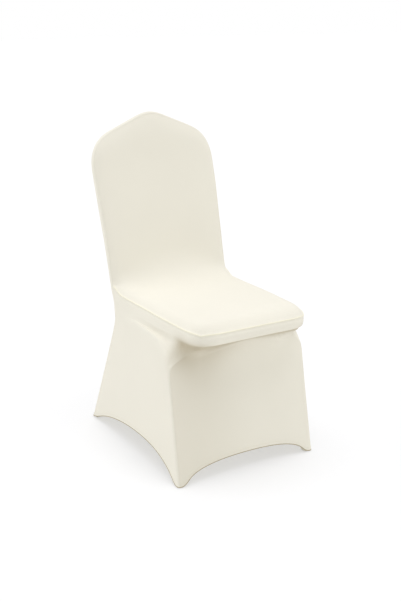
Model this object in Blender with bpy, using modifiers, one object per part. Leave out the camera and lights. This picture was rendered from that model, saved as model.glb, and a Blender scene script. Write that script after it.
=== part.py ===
"""Fitted stretch chair cover: a hollow shell of knitted cloth with a crowned back, a seat and a footed skirt."""
import math

import bmesh
import bpy
import numpy as np
from mathutils import Vector

# Names
COLLECTION = "chair_cover"
FRONT_PANEL = "front_seat_panel"
BACK_PANEL = "back_panel"
SKIRT = "skirt"

# Cloth
CLOTH_THICKNESS = 0.0015
SEAM_GAP = 0.0004

# Outline of the back, seen from the front
CROWN_TOP = 0.960
SHOULDER_HALF_WIDTH = 0.2080
BASE_HALF_WIDTH = 0.2010
ROOF_SLOPE = math.radians(22.2)
APEX_RADIUS = 0.087
SHOULDER_RADIUS = 0.105
BACK_SIDE = (
    {"x": BASE_HALF_WIDTH, "z": 0.462},
    {"x": 0.2020, "z": 0.600},
    {"x": 0.2055, "z": 0.700},
)

# Lean of the back, seen from the side
BACK_FOOT_Y = 0.157
BACK_LEAN = 0.275
BACK_BEND_Z = 0.760
BACK_BEND = 0.40
BACK_THICKNESS = 0.032
BACK_EDGE_RADIUS = 0.010
BACK_PUFF = 0.004
BACK_PUFF_REACH = 0.060
SEAM_SWING = 50.0
REAR_SPAN = 0.020
REAR_SPAN_TOP = 0.660

# Seat
SEAT_TOP = 0.462
SEAT_FRONT_Y = -0.307
SEAT_HALF_WIDTH = 0.195
SEAT_FRONT_HALF_WIDTH = 0.189
SEAT_CORNER_RADIUS = 0.072
SEAT_WIDEST_Y = (-0.103, 0.037)
SEAT_CROWN = {"front": 0.023, "rear": 0.015}
SEAT_CROWN_REACH = 0.028
SEAT_DOME = 0.004
SEAT_TO_BACK = 0.040
FILLET_MIDDLE = 0.100
FILLET_EDGE = 0.034

# Front and sides of the seat cushion under the cloth, as steps outward and down from the seat seam
CUSHION_STEPS = (
    {"front": 0.0015, "side": 0.0020, "down": 0.011},
    {"front": 0.0010, "side": 0.0010, "down": 0.024},
    {"front": -0.0210, "side": -0.0030, "down": 0.036},
)
CUSHION_FADE = 0.060

# Outer corner lines of the legs under the cloth
FRONT_LEG = {"x": 0.2300, "x_per_z": -0.012, "y": -0.271, "y_per_z": 0.185}
REAR_LEG = {"x": 0.2195, "x_per_z": -0.050, "y": 0.303, "y_per_z": -0.400}
LEG_CORNER_RADIUS = 0.008
FRONT_LEG_TOP = 0.335
REAR_LEG_TOP = 0.350
FOOT_WIDTH = 0.026

# Rear seat rail, and the heights between which the cloth passes from it to the rear legs
REAR_RAIL = {"z": 0.390, "set_in": 0.007, "fade": 0.050}
RAIL_TO_LEG = {"top": 0.405, "length": 0.075}

# Ridge that the side rail raises in the cloth, from the front leg's bend back to the rear leg
RIDGE_LINE = (
    {"x": 0.2235, "y": -0.194, "z": 0.352},
    {"x": 0.2210, "y": -0.180, "z": 0.367},
    {"x": 0.2190, "y": -0.161, "z": 0.380},
    {"x": 0.2160, "y": -0.136, "z": 0.391},
    {"x": 0.2135, "y": -0.103, "z": 0.399},
    {"x": 0.2105, "y": -0.038, "z": 0.402},
    {"x": 0.2085, "y": 0.032, "z": 0.397},
    {"x": 0.2055, "y": 0.087, "z": 0.384},
    {"x": 0.2015, "y": 0.127, "z": 0.370},
)
RIDGE_TAIL = 0.020
RIDGE_MIDDLE_Z = 0.375
RIDGE_REAR_Z = 0.360

# Hem: arches with a flat middle (large flatness) and steep ends (small steepness)
FOOT_HEM_Z = 0.003
FRONT_ARCH = {"height": 0.053, "flatness": 2.4, "steepness": 0.45}
REAR_ARCH = {"height": 0.055, "flatness": 2.4, "steepness": 0.45}
SIDE_ARCH_FRONT = {"height": 0.070, "flatness": 2.2, "steepness": 0.55}
SIDE_ARCH_REAR = {"height": 0.070, "flatness": 2.2, "steepness": 0.70}
SIDE_ARCH_PEAK = 0.38

# Foot pockets
POCKET_HEIGHT = 0.030
POCKET_CORNER = 0.005
POCKET_EASE = 0.0004
POCKET_HOLD = 0.004

# Finish
CLOTH_COLOUR = (0.86, 0.83, 0.74, 1.0)
CLOTH_ROUGHNESS = 0.85

# Mesh
HALF_STEPS = 10
SIDE_STEPS = 15
BACK_STEPS = 14
BAND_STEPS = 5
SEAM_COLUMN = HALF_STEPS + SIDE_STEPS
REAR_COLUMN = SEAM_COLUMN + BAND_STEPS
LAST_COLUMN = REAR_COLUMN + HALF_STEPS
ROWS_TO_RIDGE = 3
RIDGE_ROW = len(CUSHION_STEPS) + ROWS_TO_RIDGE
LOWER_ROWS = 8
ARC_STEPS = 48
GRID_PASSES = 60
FAIRING_PASSES = 500
WELD = 1e-5
SHORTEST_SPAN = 0.002
MITRE_LIMIT = 1.6

# Distances from the middle of the front corner to the columns, along the seat seam and along the legs
FRONT_AT_SEAM = (0.0, 0.011, 0.022, 0.033, 0.044, 0.055, 0.075, 0.097, 0.122, 0.150)
FRONT_AT_LEG = (0.0, 0.0031, 0.0063, 0.014, 0.026, 0.040, 0.062, 0.092, 0.130, 0.175)
SIDE_AT_SEAM = (0.0, 0.011, 0.022, 0.033, 0.044, 0.055, 0.090, 0.135,
                0.185, 0.240, 0.295, 0.345, 0.390, 0.425, 0.455)
SIDE_AT_LEG = (0.0, 0.0031, 0.0063, 0.014, 0.026, 0.045, 0.085, 0.140,
               0.205, 0.275, 0.345, 0.410, 0.462, 0.505, 0.536)


def clear_scene():
    """Remove what the scene starts with."""
    for item in list(bpy.data.objects):
        bpy.data.objects.remove(item, do_unlink=True)


def ease(value):
    """Rise smoothly from 0 to 1."""
    t = min(max(value, 0.0), 1.0)
    return t * t * (3.0 - 2.0 * t)


def arc(centre, radius, start, end, count):
    """Points of an arc in a plane, from one angle to another."""
    return [(centre[0] + radius * math.cos(start + (end - start) * i / count),
             centre[1] + radius * math.sin(start + (end - start) * i / count))
            for i in range(count + 1)]


def walk(points, distances):
    """Points at given distances along a polyline, and then its far end."""
    pts = np.array(points, float)
    run = np.concatenate([[0.0], np.cumsum(np.linalg.norm(np.diff(pts, axis=0), axis=1))])
    where = list(distances) + [run[-1]]
    return np.stack([np.interp(where, run, pts[:, k]) for k in range(pts.shape[1])], axis=1)


def even(points, count):
    """A polyline divided in equal steps."""
    pts = np.array(points, float)
    length = np.linalg.norm(np.diff(pts, axis=0), axis=1).sum()
    return walk(points, [length * i / count for i in range(count)])


# Curves of the chair under the cloth
def back_face_y(z):
    """Front of the back at a height: leaning, then more upright towards the crown."""
    bend = max(0.0, z - BACK_BEND_Z)
    return BACK_FOOT_Y + BACK_LEAN * (z - SEAT_TOP) - BACK_BEND * bend * bend


def rear_frame_y(z):
    """Rear of the frame at a height: back, seat rail, then the rear leg."""
    set_in = REAR_RAIL["set_in"] * ease((SEAT_TOP - z) / REAR_RAIL["fade"])
    back_y = back_face_y(max(z, REAR_RAIL["z"])) + BACK_THICKNESS - set_in
    leg_y = REAR_LEG["y"] + REAR_LEG["y_per_z"] * z
    share = ease((RAIL_TO_LEG["top"] - z) / RAIL_TO_LEG["length"])
    return back_y * (1.0 - share) + leg_y * share


def front_corner(z):
    """Outer corner of the front leg at a height."""
    return FRONT_LEG["x"] + FRONT_LEG["x_per_z"] * z, FRONT_LEG["y"] + FRONT_LEG["y_per_z"] * z


def rear_corner(z):
    """Outer corner of the rear leg, or of the back above it, at a height."""
    leg_x = REAR_LEG["x"] + REAR_LEG["x_per_z"] * min(z, REAR_LEG_TOP)
    share = ease((z - REAR_LEG_TOP) / (SEAT_TOP - REAR_LEG_TOP))
    return leg_x * (1.0 - share) + BASE_HALF_WIDTH * share, rear_frame_y(z)


# Outlines of the back and the seat
def back_outline():
    """Right half of the back's outline, from the seat up to the apex, as x and z."""
    apex_z = CROWN_TOP + APEX_RADIUS * (1.0 / math.cos(ROOF_SLOPE) - 1.0)
    corner_z = apex_z - math.tan(ROOF_SLOPE) * SHOULDER_HALF_WIDTH
    turn = math.pi / 2.0 - ROOF_SLOPE
    reach = SHOULDER_RADIUS * math.tan(turn / 2.0)
    centre = (SHOULDER_HALF_WIDTH - SHOULDER_RADIUS, corner_z - reach)
    shoulder = arc(centre, SHOULDER_RADIUS, 0.0, turn, ARC_STEPS)
    crown = arc((0.0, CROWN_TOP - APEX_RADIUS), APEX_RADIUS, turn, math.pi / 2.0, ARC_STEPS)
    half = ARC_STEPS // 2
    lower = even([(p["x"], p["z"]) for p in BACK_SIDE] + shoulder[:half + 1], BACK_STEPS)
    upper = even(shoulder[half:] + crown, HALF_STEPS)
    return np.concatenate([lower, upper[1:]])


def seat_outline():
    """Right half of the seat's outline: front edge from the middle, then the side up to the back."""
    front = SEAT_FRONT_HALF_WIDTH
    centre = (front - SEAT_CORNER_RADIUS, SEAT_FRONT_Y + SEAT_CORNER_RADIUS)
    corner = arc(centre, SEAT_CORNER_RADIUS, -math.pi / 2.0, 0.0, ARC_STEPS)
    half = ARC_STEPS // 2
    edge = walk(corner[half::-1] + [(0.0, SEAT_FRONT_Y)], FRONT_AT_SEAM)[::-1]
    along = [(SEAT_HALF_WIDTH, y) for y in SEAT_WIDEST_Y] + [(BASE_HALF_WIDTH, BACK_FOOT_Y)]
    return edge, walk(corner[half:] + along, SIDE_AT_SEAM)


def fill_grid(side, bottom, top):
    """Grid of flat points from the middle line to a side, rows running from bottom to top."""
    columns, rows = len(bottom), len(side)
    middle = np.stack([np.zeros(rows), np.linspace(bottom[0][1], top[0][1], rows)], axis=1)
    a = np.linspace(0.0, 1.0, columns)[:, None, None]
    b = np.linspace(0.0, 1.0, rows)[None, :, None]
    grid = ((1 - a) * middle[None] + a * side[None] + (1 - b) * bottom[:, None] + b * top[:, None]
            - (1 - a) * (1 - b) * bottom[0] - a * (1 - b) * bottom[-1]
            - (1 - a) * b * top[0] - a * b * top[-1])
    for _ in range(GRID_PASSES):
        grid[1:-1, 1:-1] = (grid[:-2, 1:-1] + grid[2:, 1:-1] + grid[1:-1, :-2] + grid[1:-1, 2:]) / 4.0
        grid[0, 1:-1, 1] = grid[1, 1:-1, 1]
    return grid


# Inside back and seat
def straight_profile(v):
    """Seat line for v < 0 and back line for v > 0, meeting in a sharp corner."""
    if v <= 0.0:
        return np.array([BACK_FOOT_Y + v, SEAT_TOP])
    return np.array([back_face_y(SEAT_TOP + v), SEAT_TOP + v])


def profile_point(v, x):
    """Seat and back line with the corner between them bridged by the taut cloth."""
    share = max(0.0, 1.0 - (x / SHOULDER_HALF_WIDTH) ** 2) ** 1.5
    reach = FILLET_EDGE + (FILLET_MIDDLE - FILLET_EDGE) * share
    if abs(v) >= reach:
        return straight_profile(v)
    t = (v + reach) / (2.0 * reach)
    low, high = straight_profile(-reach), straight_profile(reach)
    return (1 - t) ** 2 * low + 2 * t * (1 - t) * straight_profile(0.0) + t * t * high


def surface_normal(v, x):
    """Direction out of the inside back and seat, as y and z."""
    step = 0.004
    along = profile_point(v + step, x) - profile_point(v - step, x)
    along /= np.linalg.norm(along)
    return np.array([-along[1], along[0]])


def seat_crown(v):
    """How far the seat's seam lies below its top: more in front than at the back."""
    share = min(max(1.0 + v / (BACK_FOOT_Y - SEAT_FRONT_Y), 0.0), 1.0)
    return SEAT_CROWN["front"] * (1.0 - share) + SEAT_CROWN["rear"] * share


def distance_to(point, line):
    """Shortest distance from a flat point to a polyline."""
    start, end = line[:-1], line[1:]
    span = end - start
    share = np.clip(((point - start) * span).sum(1) / np.maximum((span ** 2).sum(1), 1e-12), 0.0, 1.0)
    return np.linalg.norm(start + share[:, None] * span - point, axis=1).min()


def front_grid(seam):
    """Inside back and seat as one cloth, from the seat's front edge to the crown."""
    edge, seat_side = seat_outline()
    bottom = np.array([(p[0], p[1] - BACK_FOOT_Y) for p in edge])
    side = np.array([(p[0], p[1] - BACK_FOOT_Y) for p in seat_side[:-1]]
                    + [(p[0], p[2] - SEAT_TOP) for p in seam[:BACK_STEPS + 1]])
    top = np.array([(p[0], p[2] - SEAT_TOP) for p in seam[BACK_STEPS:]])[::-1]
    flat = fill_grid(side, bottom, top)
    border = np.concatenate([bottom, side[1:], top[::-1][1:]])
    grid = np.zeros(flat.shape[:2] + (3,))
    for i, j in np.ndindex(flat.shape[:2]):
        x, v = flat[i, j]
        near = distance_to(flat[i, j], border)
        on_seat = ease(0.5 - v / SEAT_TO_BACK)
        puff = BACK_PUFF * (1.0 - on_seat) * min(near / BACK_PUFF_REACH, 1.0)
        edge = max(0.0, 1.0 - near / SEAT_CROWN_REACH) ** 2
        drop = on_seat * ((seat_crown(v) + SEAT_DOME) * edge - SEAT_DOME)
        yz = profile_point(v, x) + surface_normal(v, x) * (puff - drop)
        grid[i, j] = (x, yz[0], yz[1])
    grid[-1, SIDE_STEPS:] = seam[:BACK_STEPS + 1]
    grid[:, -1] = seam[BACK_STEPS:][::-1]
    return grid


# Outside back
def edge_point(angle):
    """Inset and depth of a point round the front edge of the back."""
    return BACK_EDGE_RADIUS * (1.0 - math.sin(angle)), BACK_EDGE_RADIUS * (1.0 - math.cos(angle))


def back_bands():
    """Bands of cloth round the edge of the back, from the seam to the rear face."""
    outline = back_outline()
    tangent = np.gradient(outline, axis=0)
    tangent /= np.linalg.norm(tangent, axis=1)[:, None]
    inward = np.stack([-tangent[:, 1], tangent[:, 0]], axis=1)
    inward[0] = (-1.0, 0.0)
    inward[-1] = (0.0, -1.0)
    radius = BACK_EDGE_RADIUS
    slant = radius * (1.0 - math.sqrt(0.5))
    bands = np.zeros((BAND_STEPS + 1, len(outline), 3))
    for t, point in enumerate(outline):
        swing = math.sin(math.pi * min(t / BACK_STEPS, 1.0)) ** 2
        seam = math.radians(90.0 - SEAM_SWING * swing)
        steps = (edge_point(seam), edge_point((seam + math.pi / 2.0) / 2.0), (0.0, radius),
                 (0.0, BACK_THICKNESS - radius), (slant, BACK_THICKNESS - slant), (radius, BACK_THICKNESS))
        for b, (inset, depth) in enumerate(steps):
            x, z = point + inward[t] * inset
            bands[b, t] = (x, back_face_y(z) + depth, z)
    return spread_bands(bands)


def spread_bands(bands):
    """Where the seam lies on the side of the back, share the band's width out evenly."""
    first, last = bands[0].copy(), bands[3].copy()
    for b in (1, 2):
        tight = np.linalg.norm(bands[b] - bands[0], axis=1) < 0.002 * b
        bands[b][tight] = (first + (last - first) * b / 3.0)[tight]
    return bands


def rear_grid(rim):
    """Outside of the back above the seat."""
    side = rim[:BACK_STEPS + 1][:, [0, 2]]
    top = rim[BACK_STEPS:][:, [0, 2]][::-1]
    across = np.linspace(0.0, side[0, 0], HALF_STEPS + 1)
    bottom = np.stack([across, np.full(len(across), side[0, 1])], axis=1)
    flat = fill_grid(side, bottom, top)
    grid = np.zeros(flat.shape[:2] + (3,))
    for i, j in np.ndindex(flat.shape[:2]):
        x, z = flat[i, j]
        lift = max(0.0, (REAR_SPAN_TOP - z) / (REAR_SPAN_TOP - SEAT_TOP)) ** 2
        lift *= REAR_SPAN * (1.0 - (x / side[0, 0]) ** 2)
        grid[i, j] = (x, back_face_y(z) + BACK_THICKNESS + lift, z)
    grid[-1] = rim[:BACK_STEPS + 1]
    grid[:, -1] = rim[BACK_STEPS:][::-1]
    return grid


# Skirt and the lower part of the outside back
def side_stations(z):
    """Distances to the side's columns at a height: the foot keeps its own, the rest share the length."""
    full = rear_frame_y(0.0) - front_corner(0.0)[1]
    scale = (rear_frame_y(z) - front_corner(z)[1]) / full
    return [d if d <= FOOT_WIDTH else FOOT_WIDTH + (d - FOOT_WIDTH) * scale for d in SIDE_AT_LEG]


def leg_ring(z):
    """Right half of the ring that the legs hold at a height, column by column."""
    r = LEG_CORNER_RADIUS
    fx, fy = front_corner(z)
    rx, ry = rear_corner(z)
    front_arc = arc((fx - r, fy + r), r, -math.pi / 2.0, 0.0, ARC_STEPS)
    half = ARC_STEPS // 2
    front = walk(front_arc[half::-1] + [(0.0, fy)], FRONT_AT_LEG)[::-1]
    side = walk(front_arc[half:] + [(rx, ry - r)], side_stations(z))
    corner = even(arc((rx - r, ry - r), r, 0.0, math.pi / 2.0, ARC_STEPS), BAND_STEPS)
    rear_x = np.linspace(rx - FOOT_WIDTH, 0.0, HALF_STEPS)
    rear = np.stack([rear_x, np.full(HALF_STEPS, ry)], axis=1)
    return np.concatenate([front, side[1:], corner[1:], rear])


def hem_height(column, x, y):
    """Height of the hem at a column: an arch on each side, down to the floor at each foot."""
    if column <= HALF_STEPS or column > SEAM_COLUMN:
        leg, arch = (FRONT_LEG, FRONT_ARCH) if column <= HALF_STEPS else (REAR_LEG, REAR_ARCH)
        share = x / (leg["x"] - FOOT_WIDTH)
    else:
        start = FRONT_LEG["y"] + FOOT_WIDTH
        share = (y - start) / (REAR_LEG["y"] - FOOT_WIDTH - start) - SIDE_ARCH_PEAK
        arch = SIDE_ARCH_FRONT if share < 0.0 else SIDE_ARCH_REAR
        share = -share / SIDE_ARCH_PEAK if share < 0.0 else share / (1.0 - SIDE_ARCH_PEAK)
    rise = 1.0 - min(max(share, 0.0), 1.0) ** arch["flatness"]
    return max(arch["height"] * rise ** arch["steepness"], FOOT_HEM_Z)


def cushion_rows(rim):
    """Rows of cloth down the side of the cushion, following its rim outward and then under."""
    tangent = np.gradient(rim[:, :2], axis=0)
    tangent /= np.linalg.norm(tangent, axis=1)[:, None]
    outward = np.stack([tangent[:, 1], -tangent[:, 0]], axis=1)
    outward[0] = (0.0, -1.0)
    rows = []
    for step in CUSHION_STEPS:
        row = rim.copy()
        row[:, 2] -= step["down"]
        for k in range(LAST_COLUMN + 1):
            if k < SEAM_COLUMN:
                turned = outward[k, 0] ** 2
                out = step["front"] * (1.0 - turned) + step["side"] * turned
                row[k, :2] += outward[k] * out * ease((rim[SEAM_COLUMN, 1] - rim[k, 1]) / CUSHION_FADE)
            else:
                row[k, 1] += rear_frame_y(row[k, 2]) - rear_frame_y(rim[k, 2])
        rows.append(row)
    return rows


def ridge_row():
    """Row of cloth that lies on the front legs' tops, the side rails and the rear legs."""
    top = leg_ring(FRONT_LEG_TOP)
    row = np.zeros((LAST_COLUMN + 1, 3))
    for k in range(HALF_STEPS + 1):
        z = FRONT_LEG_TOP + (RIDGE_MIDDLE_Z - FRONT_LEG_TOP) * ease(1.0 - top[k, 0] / top[HALF_STEPS, 0])
        row[k] = (*leg_ring(z)[k], z)
    rear = leg_ring(RIDGE_REAR_Z)
    end = (*rear[SEAM_COLUMN], RIDGE_REAR_Z)
    corner = [(*top[k], FRONT_LEG_TOP) for k in range(HALF_STEPS, HALF_STEPS + 3)]
    line = np.array(corner + [(p["x"], p["y"], p["z"]) for p in RIDGE_LINE] + [end])
    length = np.linalg.norm(np.diff(line, axis=0), axis=1).sum()
    scale = (length - FOOT_WIDTH) / (SIDE_AT_LEG[-1] + RIDGE_TAIL - FOOT_WIDTH)
    stations = [d if d <= FOOT_WIDTH else FOOT_WIDTH + (d - FOOT_WIDTH) * scale for d in SIDE_AT_LEG]
    row[HALF_STEPS:SEAM_COLUMN + 1] = walk(line, stations)
    row[SEAM_COLUMN + 1:, :2] = rear[SEAM_COLUMN + 1:]
    row[SEAM_COLUMN + 1:, 2] = RIDGE_REAR_Z
    return row


def skirt_tube(rim):
    """Right half of the cloth round the cushion, legs and hem, drawn taut between what holds it."""
    foot_ring = leg_ring(0.0)
    rows = [rim] + cushion_rows(rim)
    ridge = ridge_row()
    under = rows[-1]
    for n in range(1, ROWS_TO_RIDGE):
        row = under + (ridge - under) * n / ROWS_TO_RIDGE
        for k in range(SEAM_COLUMN, LAST_COLUMN + 1):
            row[k, :2] = leg_ring(row[k, 2])[k]
        rows.append(row)
    rows.append(ridge)
    for n in range(1, LOWER_ROWS + 1):
        row = np.zeros_like(rim)
        for k in range(LAST_COLUMN + 1):
            hem = hem_height(k, *foot_ring[k])
            z = ridge[k, 2] + (hem - ridge[k, 2]) * n / LOWER_ROWS
            offset = ridge[k, :2] - leg_ring(ridge[k, 2])[k]
            row[k] = (*(leg_ring(z)[k] + offset * (1.0 - n / LOWER_ROWS) ** 2), z)
        rows.append(row)
    return draw_taut(np.stack(rows, axis=1))


def held_points(tube):
    """Which points of the tube bear on the cushion, the rails, the legs and the feet."""
    held = np.zeros(tube.shape[:2], bool)
    held[:SEAM_COLUMN, :len(CUSHION_STEPS) + 1] = True
    held[:, 0] = True
    held[:, -1] = True
    held[SEAM_COLUMN:REAR_COLUMN + 1] = True
    held[HALF_STEPS - 2:SEAM_COLUMN, RIDGE_ROW] = True
    held[HALF_STEPS - 2:HALF_STEPS + 3, RIDGE_ROW:] = True
    feet = list(range(HALF_STEPS - 4, HALF_STEPS + 5)) + list(range(SEAM_COLUMN - 1, REAR_COLUMN + 2))
    held[feet] |= tube[feet, :, 2] <= POCKET_HEIGHT + POCKET_HOLD
    return held


def draw_taut(tube):
    """Average the free points in plan until the cloth is taut between the points that are held."""
    held = held_points(tube)[..., None]
    mirrored = (-1.0, 1.0, 1.0)
    weights = []
    for near in neighbours(tube, mirrored):
        weights.append(1.0 / np.maximum(np.linalg.norm(near - tube, axis=2), SHORTEST_SPAN)[..., None])
    total = sum(weights)
    for _ in range(FAIRING_PASSES):
        plan = tube[..., :2]
        mean = sum(w * near for w, near in zip(weights, neighbours(plan, mirrored[:2]))) / total
        tube[..., :2] = np.where(held, plan, mean)
    tube[[0, -1], :, 0] = 0.0
    return tube


def neighbours(points, mirrored):
    """The four neighbours of every point, the other half being the mirror image of this one."""
    before = np.concatenate([points[1:2] * mirrored, points[:-1]])
    after = np.concatenate([points[1:], points[-2:-1] * mirrored])
    return before, after, np.roll(points, 1, axis=1), np.roll(points, -1, axis=1)


# Solids
def add_grid(mesh, layer, grid, tags):
    """Add a grid of quads, each tagged with the panel that it belongs to."""
    columns, rows = grid.shape[:2]
    verts = [[mesh.verts.new(grid[i, j]) for j in range(rows)] for i in range(columns)]
    for i in range(columns - 1):
        for j in range(rows - 1):
            corners = (verts[i][j], verts[i + 1][j], verts[i + 1][j + 1], verts[i][j + 1])
            face = mesh.faces.new(corners)
            face[layer] = tags[i] if isinstance(tags, list) else tags


def build_skin():
    """One welded skin for the whole cover, its faces tagged by panel."""
    bands = back_bands()
    front = front_grid(bands[0])
    rear = rear_grid(bands[-1])
    rim = np.concatenate([front[:, 0], front[-1, 1:SIDE_STEPS + 1], bands[1:, 0], rear[:-1, 0][::-1]])
    tube = skirt_tube(rim)
    skin = bmesh.new()
    layer = skin.faces.layers.int.new("panel")
    add_grid(skin, layer, front, 0)
    add_grid(skin, layer, bands, 1)
    add_grid(skin, layer, rear, 1)
    add_grid(skin, layer, tube, [2] * SEAM_COLUMN + [1] * (LAST_COLUMN - SEAM_COLUMN))
    bmesh.ops.remove_doubles(skin, verts=skin.verts, dist=WELD)
    bmesh.ops.mirror(skin, geom=skin.verts[:] + skin.edges[:] + skin.faces[:], axis="X", merge_dist=WELD)
    bmesh.ops.remove_doubles(skin, verts=skin.verts, dist=WELD)
    bmesh.ops.recalc_face_normals(skin, faces=skin.faces)
    crown = max(skin.faces, key=lambda face: face.calc_center_median().z)
    if crown.normal.z < 0.0:
        bmesh.ops.reverse_faces(skin, faces=skin.faces)
    skin.verts.index_update()
    skin.faces.index_update()
    skin.normal_update()
    return skin, layer


def seam_shift(vert, faces, seam_edges):
    """Half the seam's gap, along the cloth and away from the seam."""
    total = Vector()
    for edge in vert.link_edges:
        if edge not in seam_edges:
            continue
        face = next(f for f in edge.link_faces if f in faces)
        along = (edge.verts[1].co - edge.verts[0].co).normalized()
        across = face.normal.cross(along).normalized()
        if across.dot(face.calc_center_median() - edge.verts[0].co) < 0.0:
            across.negate()
        total += across
    return total.normalized() * SEAM_GAP / 2.0 if total.length > 0.0 else total


def panel_solid(skin, layer, tag, name):
    """Thicken one panel of the skin inward and draw its seams back by half the gap."""
    faces = {face for face in skin.faces if face[layer] == tag}
    seams = {edge for face in faces for edge in face.edges
             if any(other[layer] != tag for other in edge.link_faces)}
    mesh = bmesh.new()
    mark = mesh.verts.layers.int.new("skin")
    lookup, inner = {}, {}
    for vert in sorted({v for face in faces for v in face.verts}, key=lambda v: v.index):
        shift = seam_shift(vert, faces, seams)
        lookup[vert.index] = mesh.verts.new(vert.co + shift)
        lookup[vert.index][mark] = vert.index
        depth = vert.normal * (CLOTH_THICKNESS * min(vert.calc_shell_factor(), MITRE_LIMIT))
        inner[vert.index] = vert.co + shift - depth
    for face in sorted(faces, key=lambda f: f.index):
        mesh.faces.new([lookup[v.index] for v in face.verts])
    outer = mesh.faces[:]
    grown = bmesh.ops.extrude_face_region(mesh, geom=outer)
    for item in grown["geom"]:
        if isinstance(item, bmesh.types.BMVert):
            item.co = inner[item[mark]]
    bmesh.ops.recalc_face_normals(mesh, faces=mesh.faces)
    return mesh_object(mesh, name)


def pocket_solid(name, leg, side, front):
    """Small cup with a flat sole, round one foot and inside the skirt."""
    margin = CLOTH_THICKNESS + SEAM_GAP + POCKET_EASE
    size = FOOT_WIDTH - margin
    mesh = bmesh.new()
    bmesh.ops.create_cube(mesh, size=1.0)
    bmesh.ops.scale(mesh, verts=mesh.verts, vec=(size, size, POCKET_HEIGHT))
    upright = [e for e in mesh.edges if abs(e.verts[0].co.z - e.verts[1].co.z) > 0.01]
    bmesh.ops.bevel(mesh, geom=upright, offset=POCKET_CORNER, segments=3, profile=0.5, affect="EDGES")
    top = [f for f in mesh.faces if f.normal.z > 0.9]
    bmesh.ops.delete(mesh, geom=top, context="FACES_ONLY")
    centre_x = side * (leg["x"] - margin - size / 2.0)
    inward = 1.0 if front else -1.0
    centre_y = leg["y"] + inward * (margin + size / 2.0)
    for vert in mesh.verts:
        height = vert.co.z + POCKET_HEIGHT / 2.0
        vert.co.x += centre_x + side * leg["x_per_z"] * height
        vert.co.y += centre_y + leg["y_per_z"] * height
        vert.co.z = height
    obj = mesh_object(mesh, name)
    shell = obj.modifiers.new("Solidify", "SOLIDIFY")
    shell.thickness = CLOTH_THICKNESS
    shell.offset = -1.0
    shell.use_even_offset = True
    return obj


def mesh_object(mesh, name):
    """Object made from a mesh, smooth shaded, with its own cloth material."""
    for face in mesh.faces:
        face.smooth = True
    data = bpy.data.meshes.new(name)
    mesh.to_mesh(data)
    mesh.free()
    material = bpy.data.materials.new(name + "_cloth")
    material.use_nodes = True
    shader = material.node_tree.nodes["Principled BSDF"]
    shader.inputs["Base Color"].default_value = CLOTH_COLOUR
    shader.inputs["Roughness"].default_value = CLOTH_ROUGHNESS
    shader.inputs["Metallic"].default_value = 0.0
    data.materials.append(material)
    obj = bpy.data.objects.new(name, data)
    bpy.data.collections[COLLECTION].objects.link(obj)
    return obj


def build():
    """Build every piece of the cover."""
    clear_scene()
    collection = bpy.data.collections.new(COLLECTION)
    bpy.context.scene.collection.children.link(collection)
    skin, layer = build_skin()
    panel_solid(skin, layer, 0, FRONT_PANEL)
    panel_solid(skin, layer, 1, BACK_PANEL)
    panel_solid(skin, layer, 2, SKIRT)
    skin.free()
    for side, hand in ((-1.0, "left"), (1.0, "right")):
        pocket_solid("foot_pocket_front_" + hand, FRONT_LEG, side, True)
        pocket_solid("foot_pocket_rear_" + hand, REAR_LEG, side, False)


build()
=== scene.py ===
"""Fitted stretch cover for a crown-back banquet chair: knitted panels, sewn lips, hems and foot pockets."""
import math

import bmesh
import bpy
import numpy as np
from bpy.props import FloatProperty, FloatVectorProperty, PointerProperty
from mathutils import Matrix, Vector
from mathutils.bvhtree import BVHTree
from mathutils.kdtree import KDTree


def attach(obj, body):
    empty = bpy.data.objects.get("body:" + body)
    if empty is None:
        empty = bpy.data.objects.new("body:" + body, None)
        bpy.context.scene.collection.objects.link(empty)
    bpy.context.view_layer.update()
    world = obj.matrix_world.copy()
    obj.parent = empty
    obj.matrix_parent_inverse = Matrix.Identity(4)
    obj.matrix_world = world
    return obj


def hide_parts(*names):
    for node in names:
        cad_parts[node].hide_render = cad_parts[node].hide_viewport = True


bl_info = {
    "name": "Stretch Chair Cover",
    "version": (1, 0, 0),
    "blender": (4, 5, 0),
    "location": "3D View > Sidebar > Chair Cover",
    "description": "Knitted panels, sewn seams, turned hems and foot pockets of a fitted chair cover",
    "category": "Object",
}

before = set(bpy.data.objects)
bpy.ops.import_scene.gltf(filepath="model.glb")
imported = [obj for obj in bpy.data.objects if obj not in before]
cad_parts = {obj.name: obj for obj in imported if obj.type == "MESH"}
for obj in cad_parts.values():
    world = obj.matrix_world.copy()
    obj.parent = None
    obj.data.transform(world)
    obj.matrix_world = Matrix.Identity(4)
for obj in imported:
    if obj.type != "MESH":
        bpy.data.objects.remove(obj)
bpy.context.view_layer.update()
BODY = "root"

# Panels of the skin, by the tag that their faces carry
FRONT, BACK, SKIRT = 0, 1, 2
NO_PANEL = -1
HEMS = ((SKIRT, NO_PANEL), (BACK, NO_PANEL))

# Outline of the back, seen from the front
CROWN_TOP = 0.960
SHOULDER_HALF_WIDTH = 0.2080
BASE_HALF_WIDTH = 0.2010
ROOF_SLOPE = math.radians(22.2)
APEX_RADIUS = 0.087
SHOULDER_RADIUS = 0.105
BACK_SIDE = (
    {"x": BASE_HALF_WIDTH, "z": 0.462},
    {"x": 0.2020, "z": 0.600},
    {"x": 0.2055, "z": 0.700},
)

# Lean of the back, seen from the side
BACK_FOOT_Y = 0.157
BACK_LEAN = 0.275
BACK_BEND_Z = 0.760
BACK_BEND = 0.40
BACK_THICKNESS = 0.032
BACK_EDGE_RADIUS = 0.010
BACK_PUFF = 0.004
BACK_PUFF_REACH = 0.060
SEAM_SWING = 50.0
REAR_SPAN = 0.020
REAR_SPAN_TOP = 0.660

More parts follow.
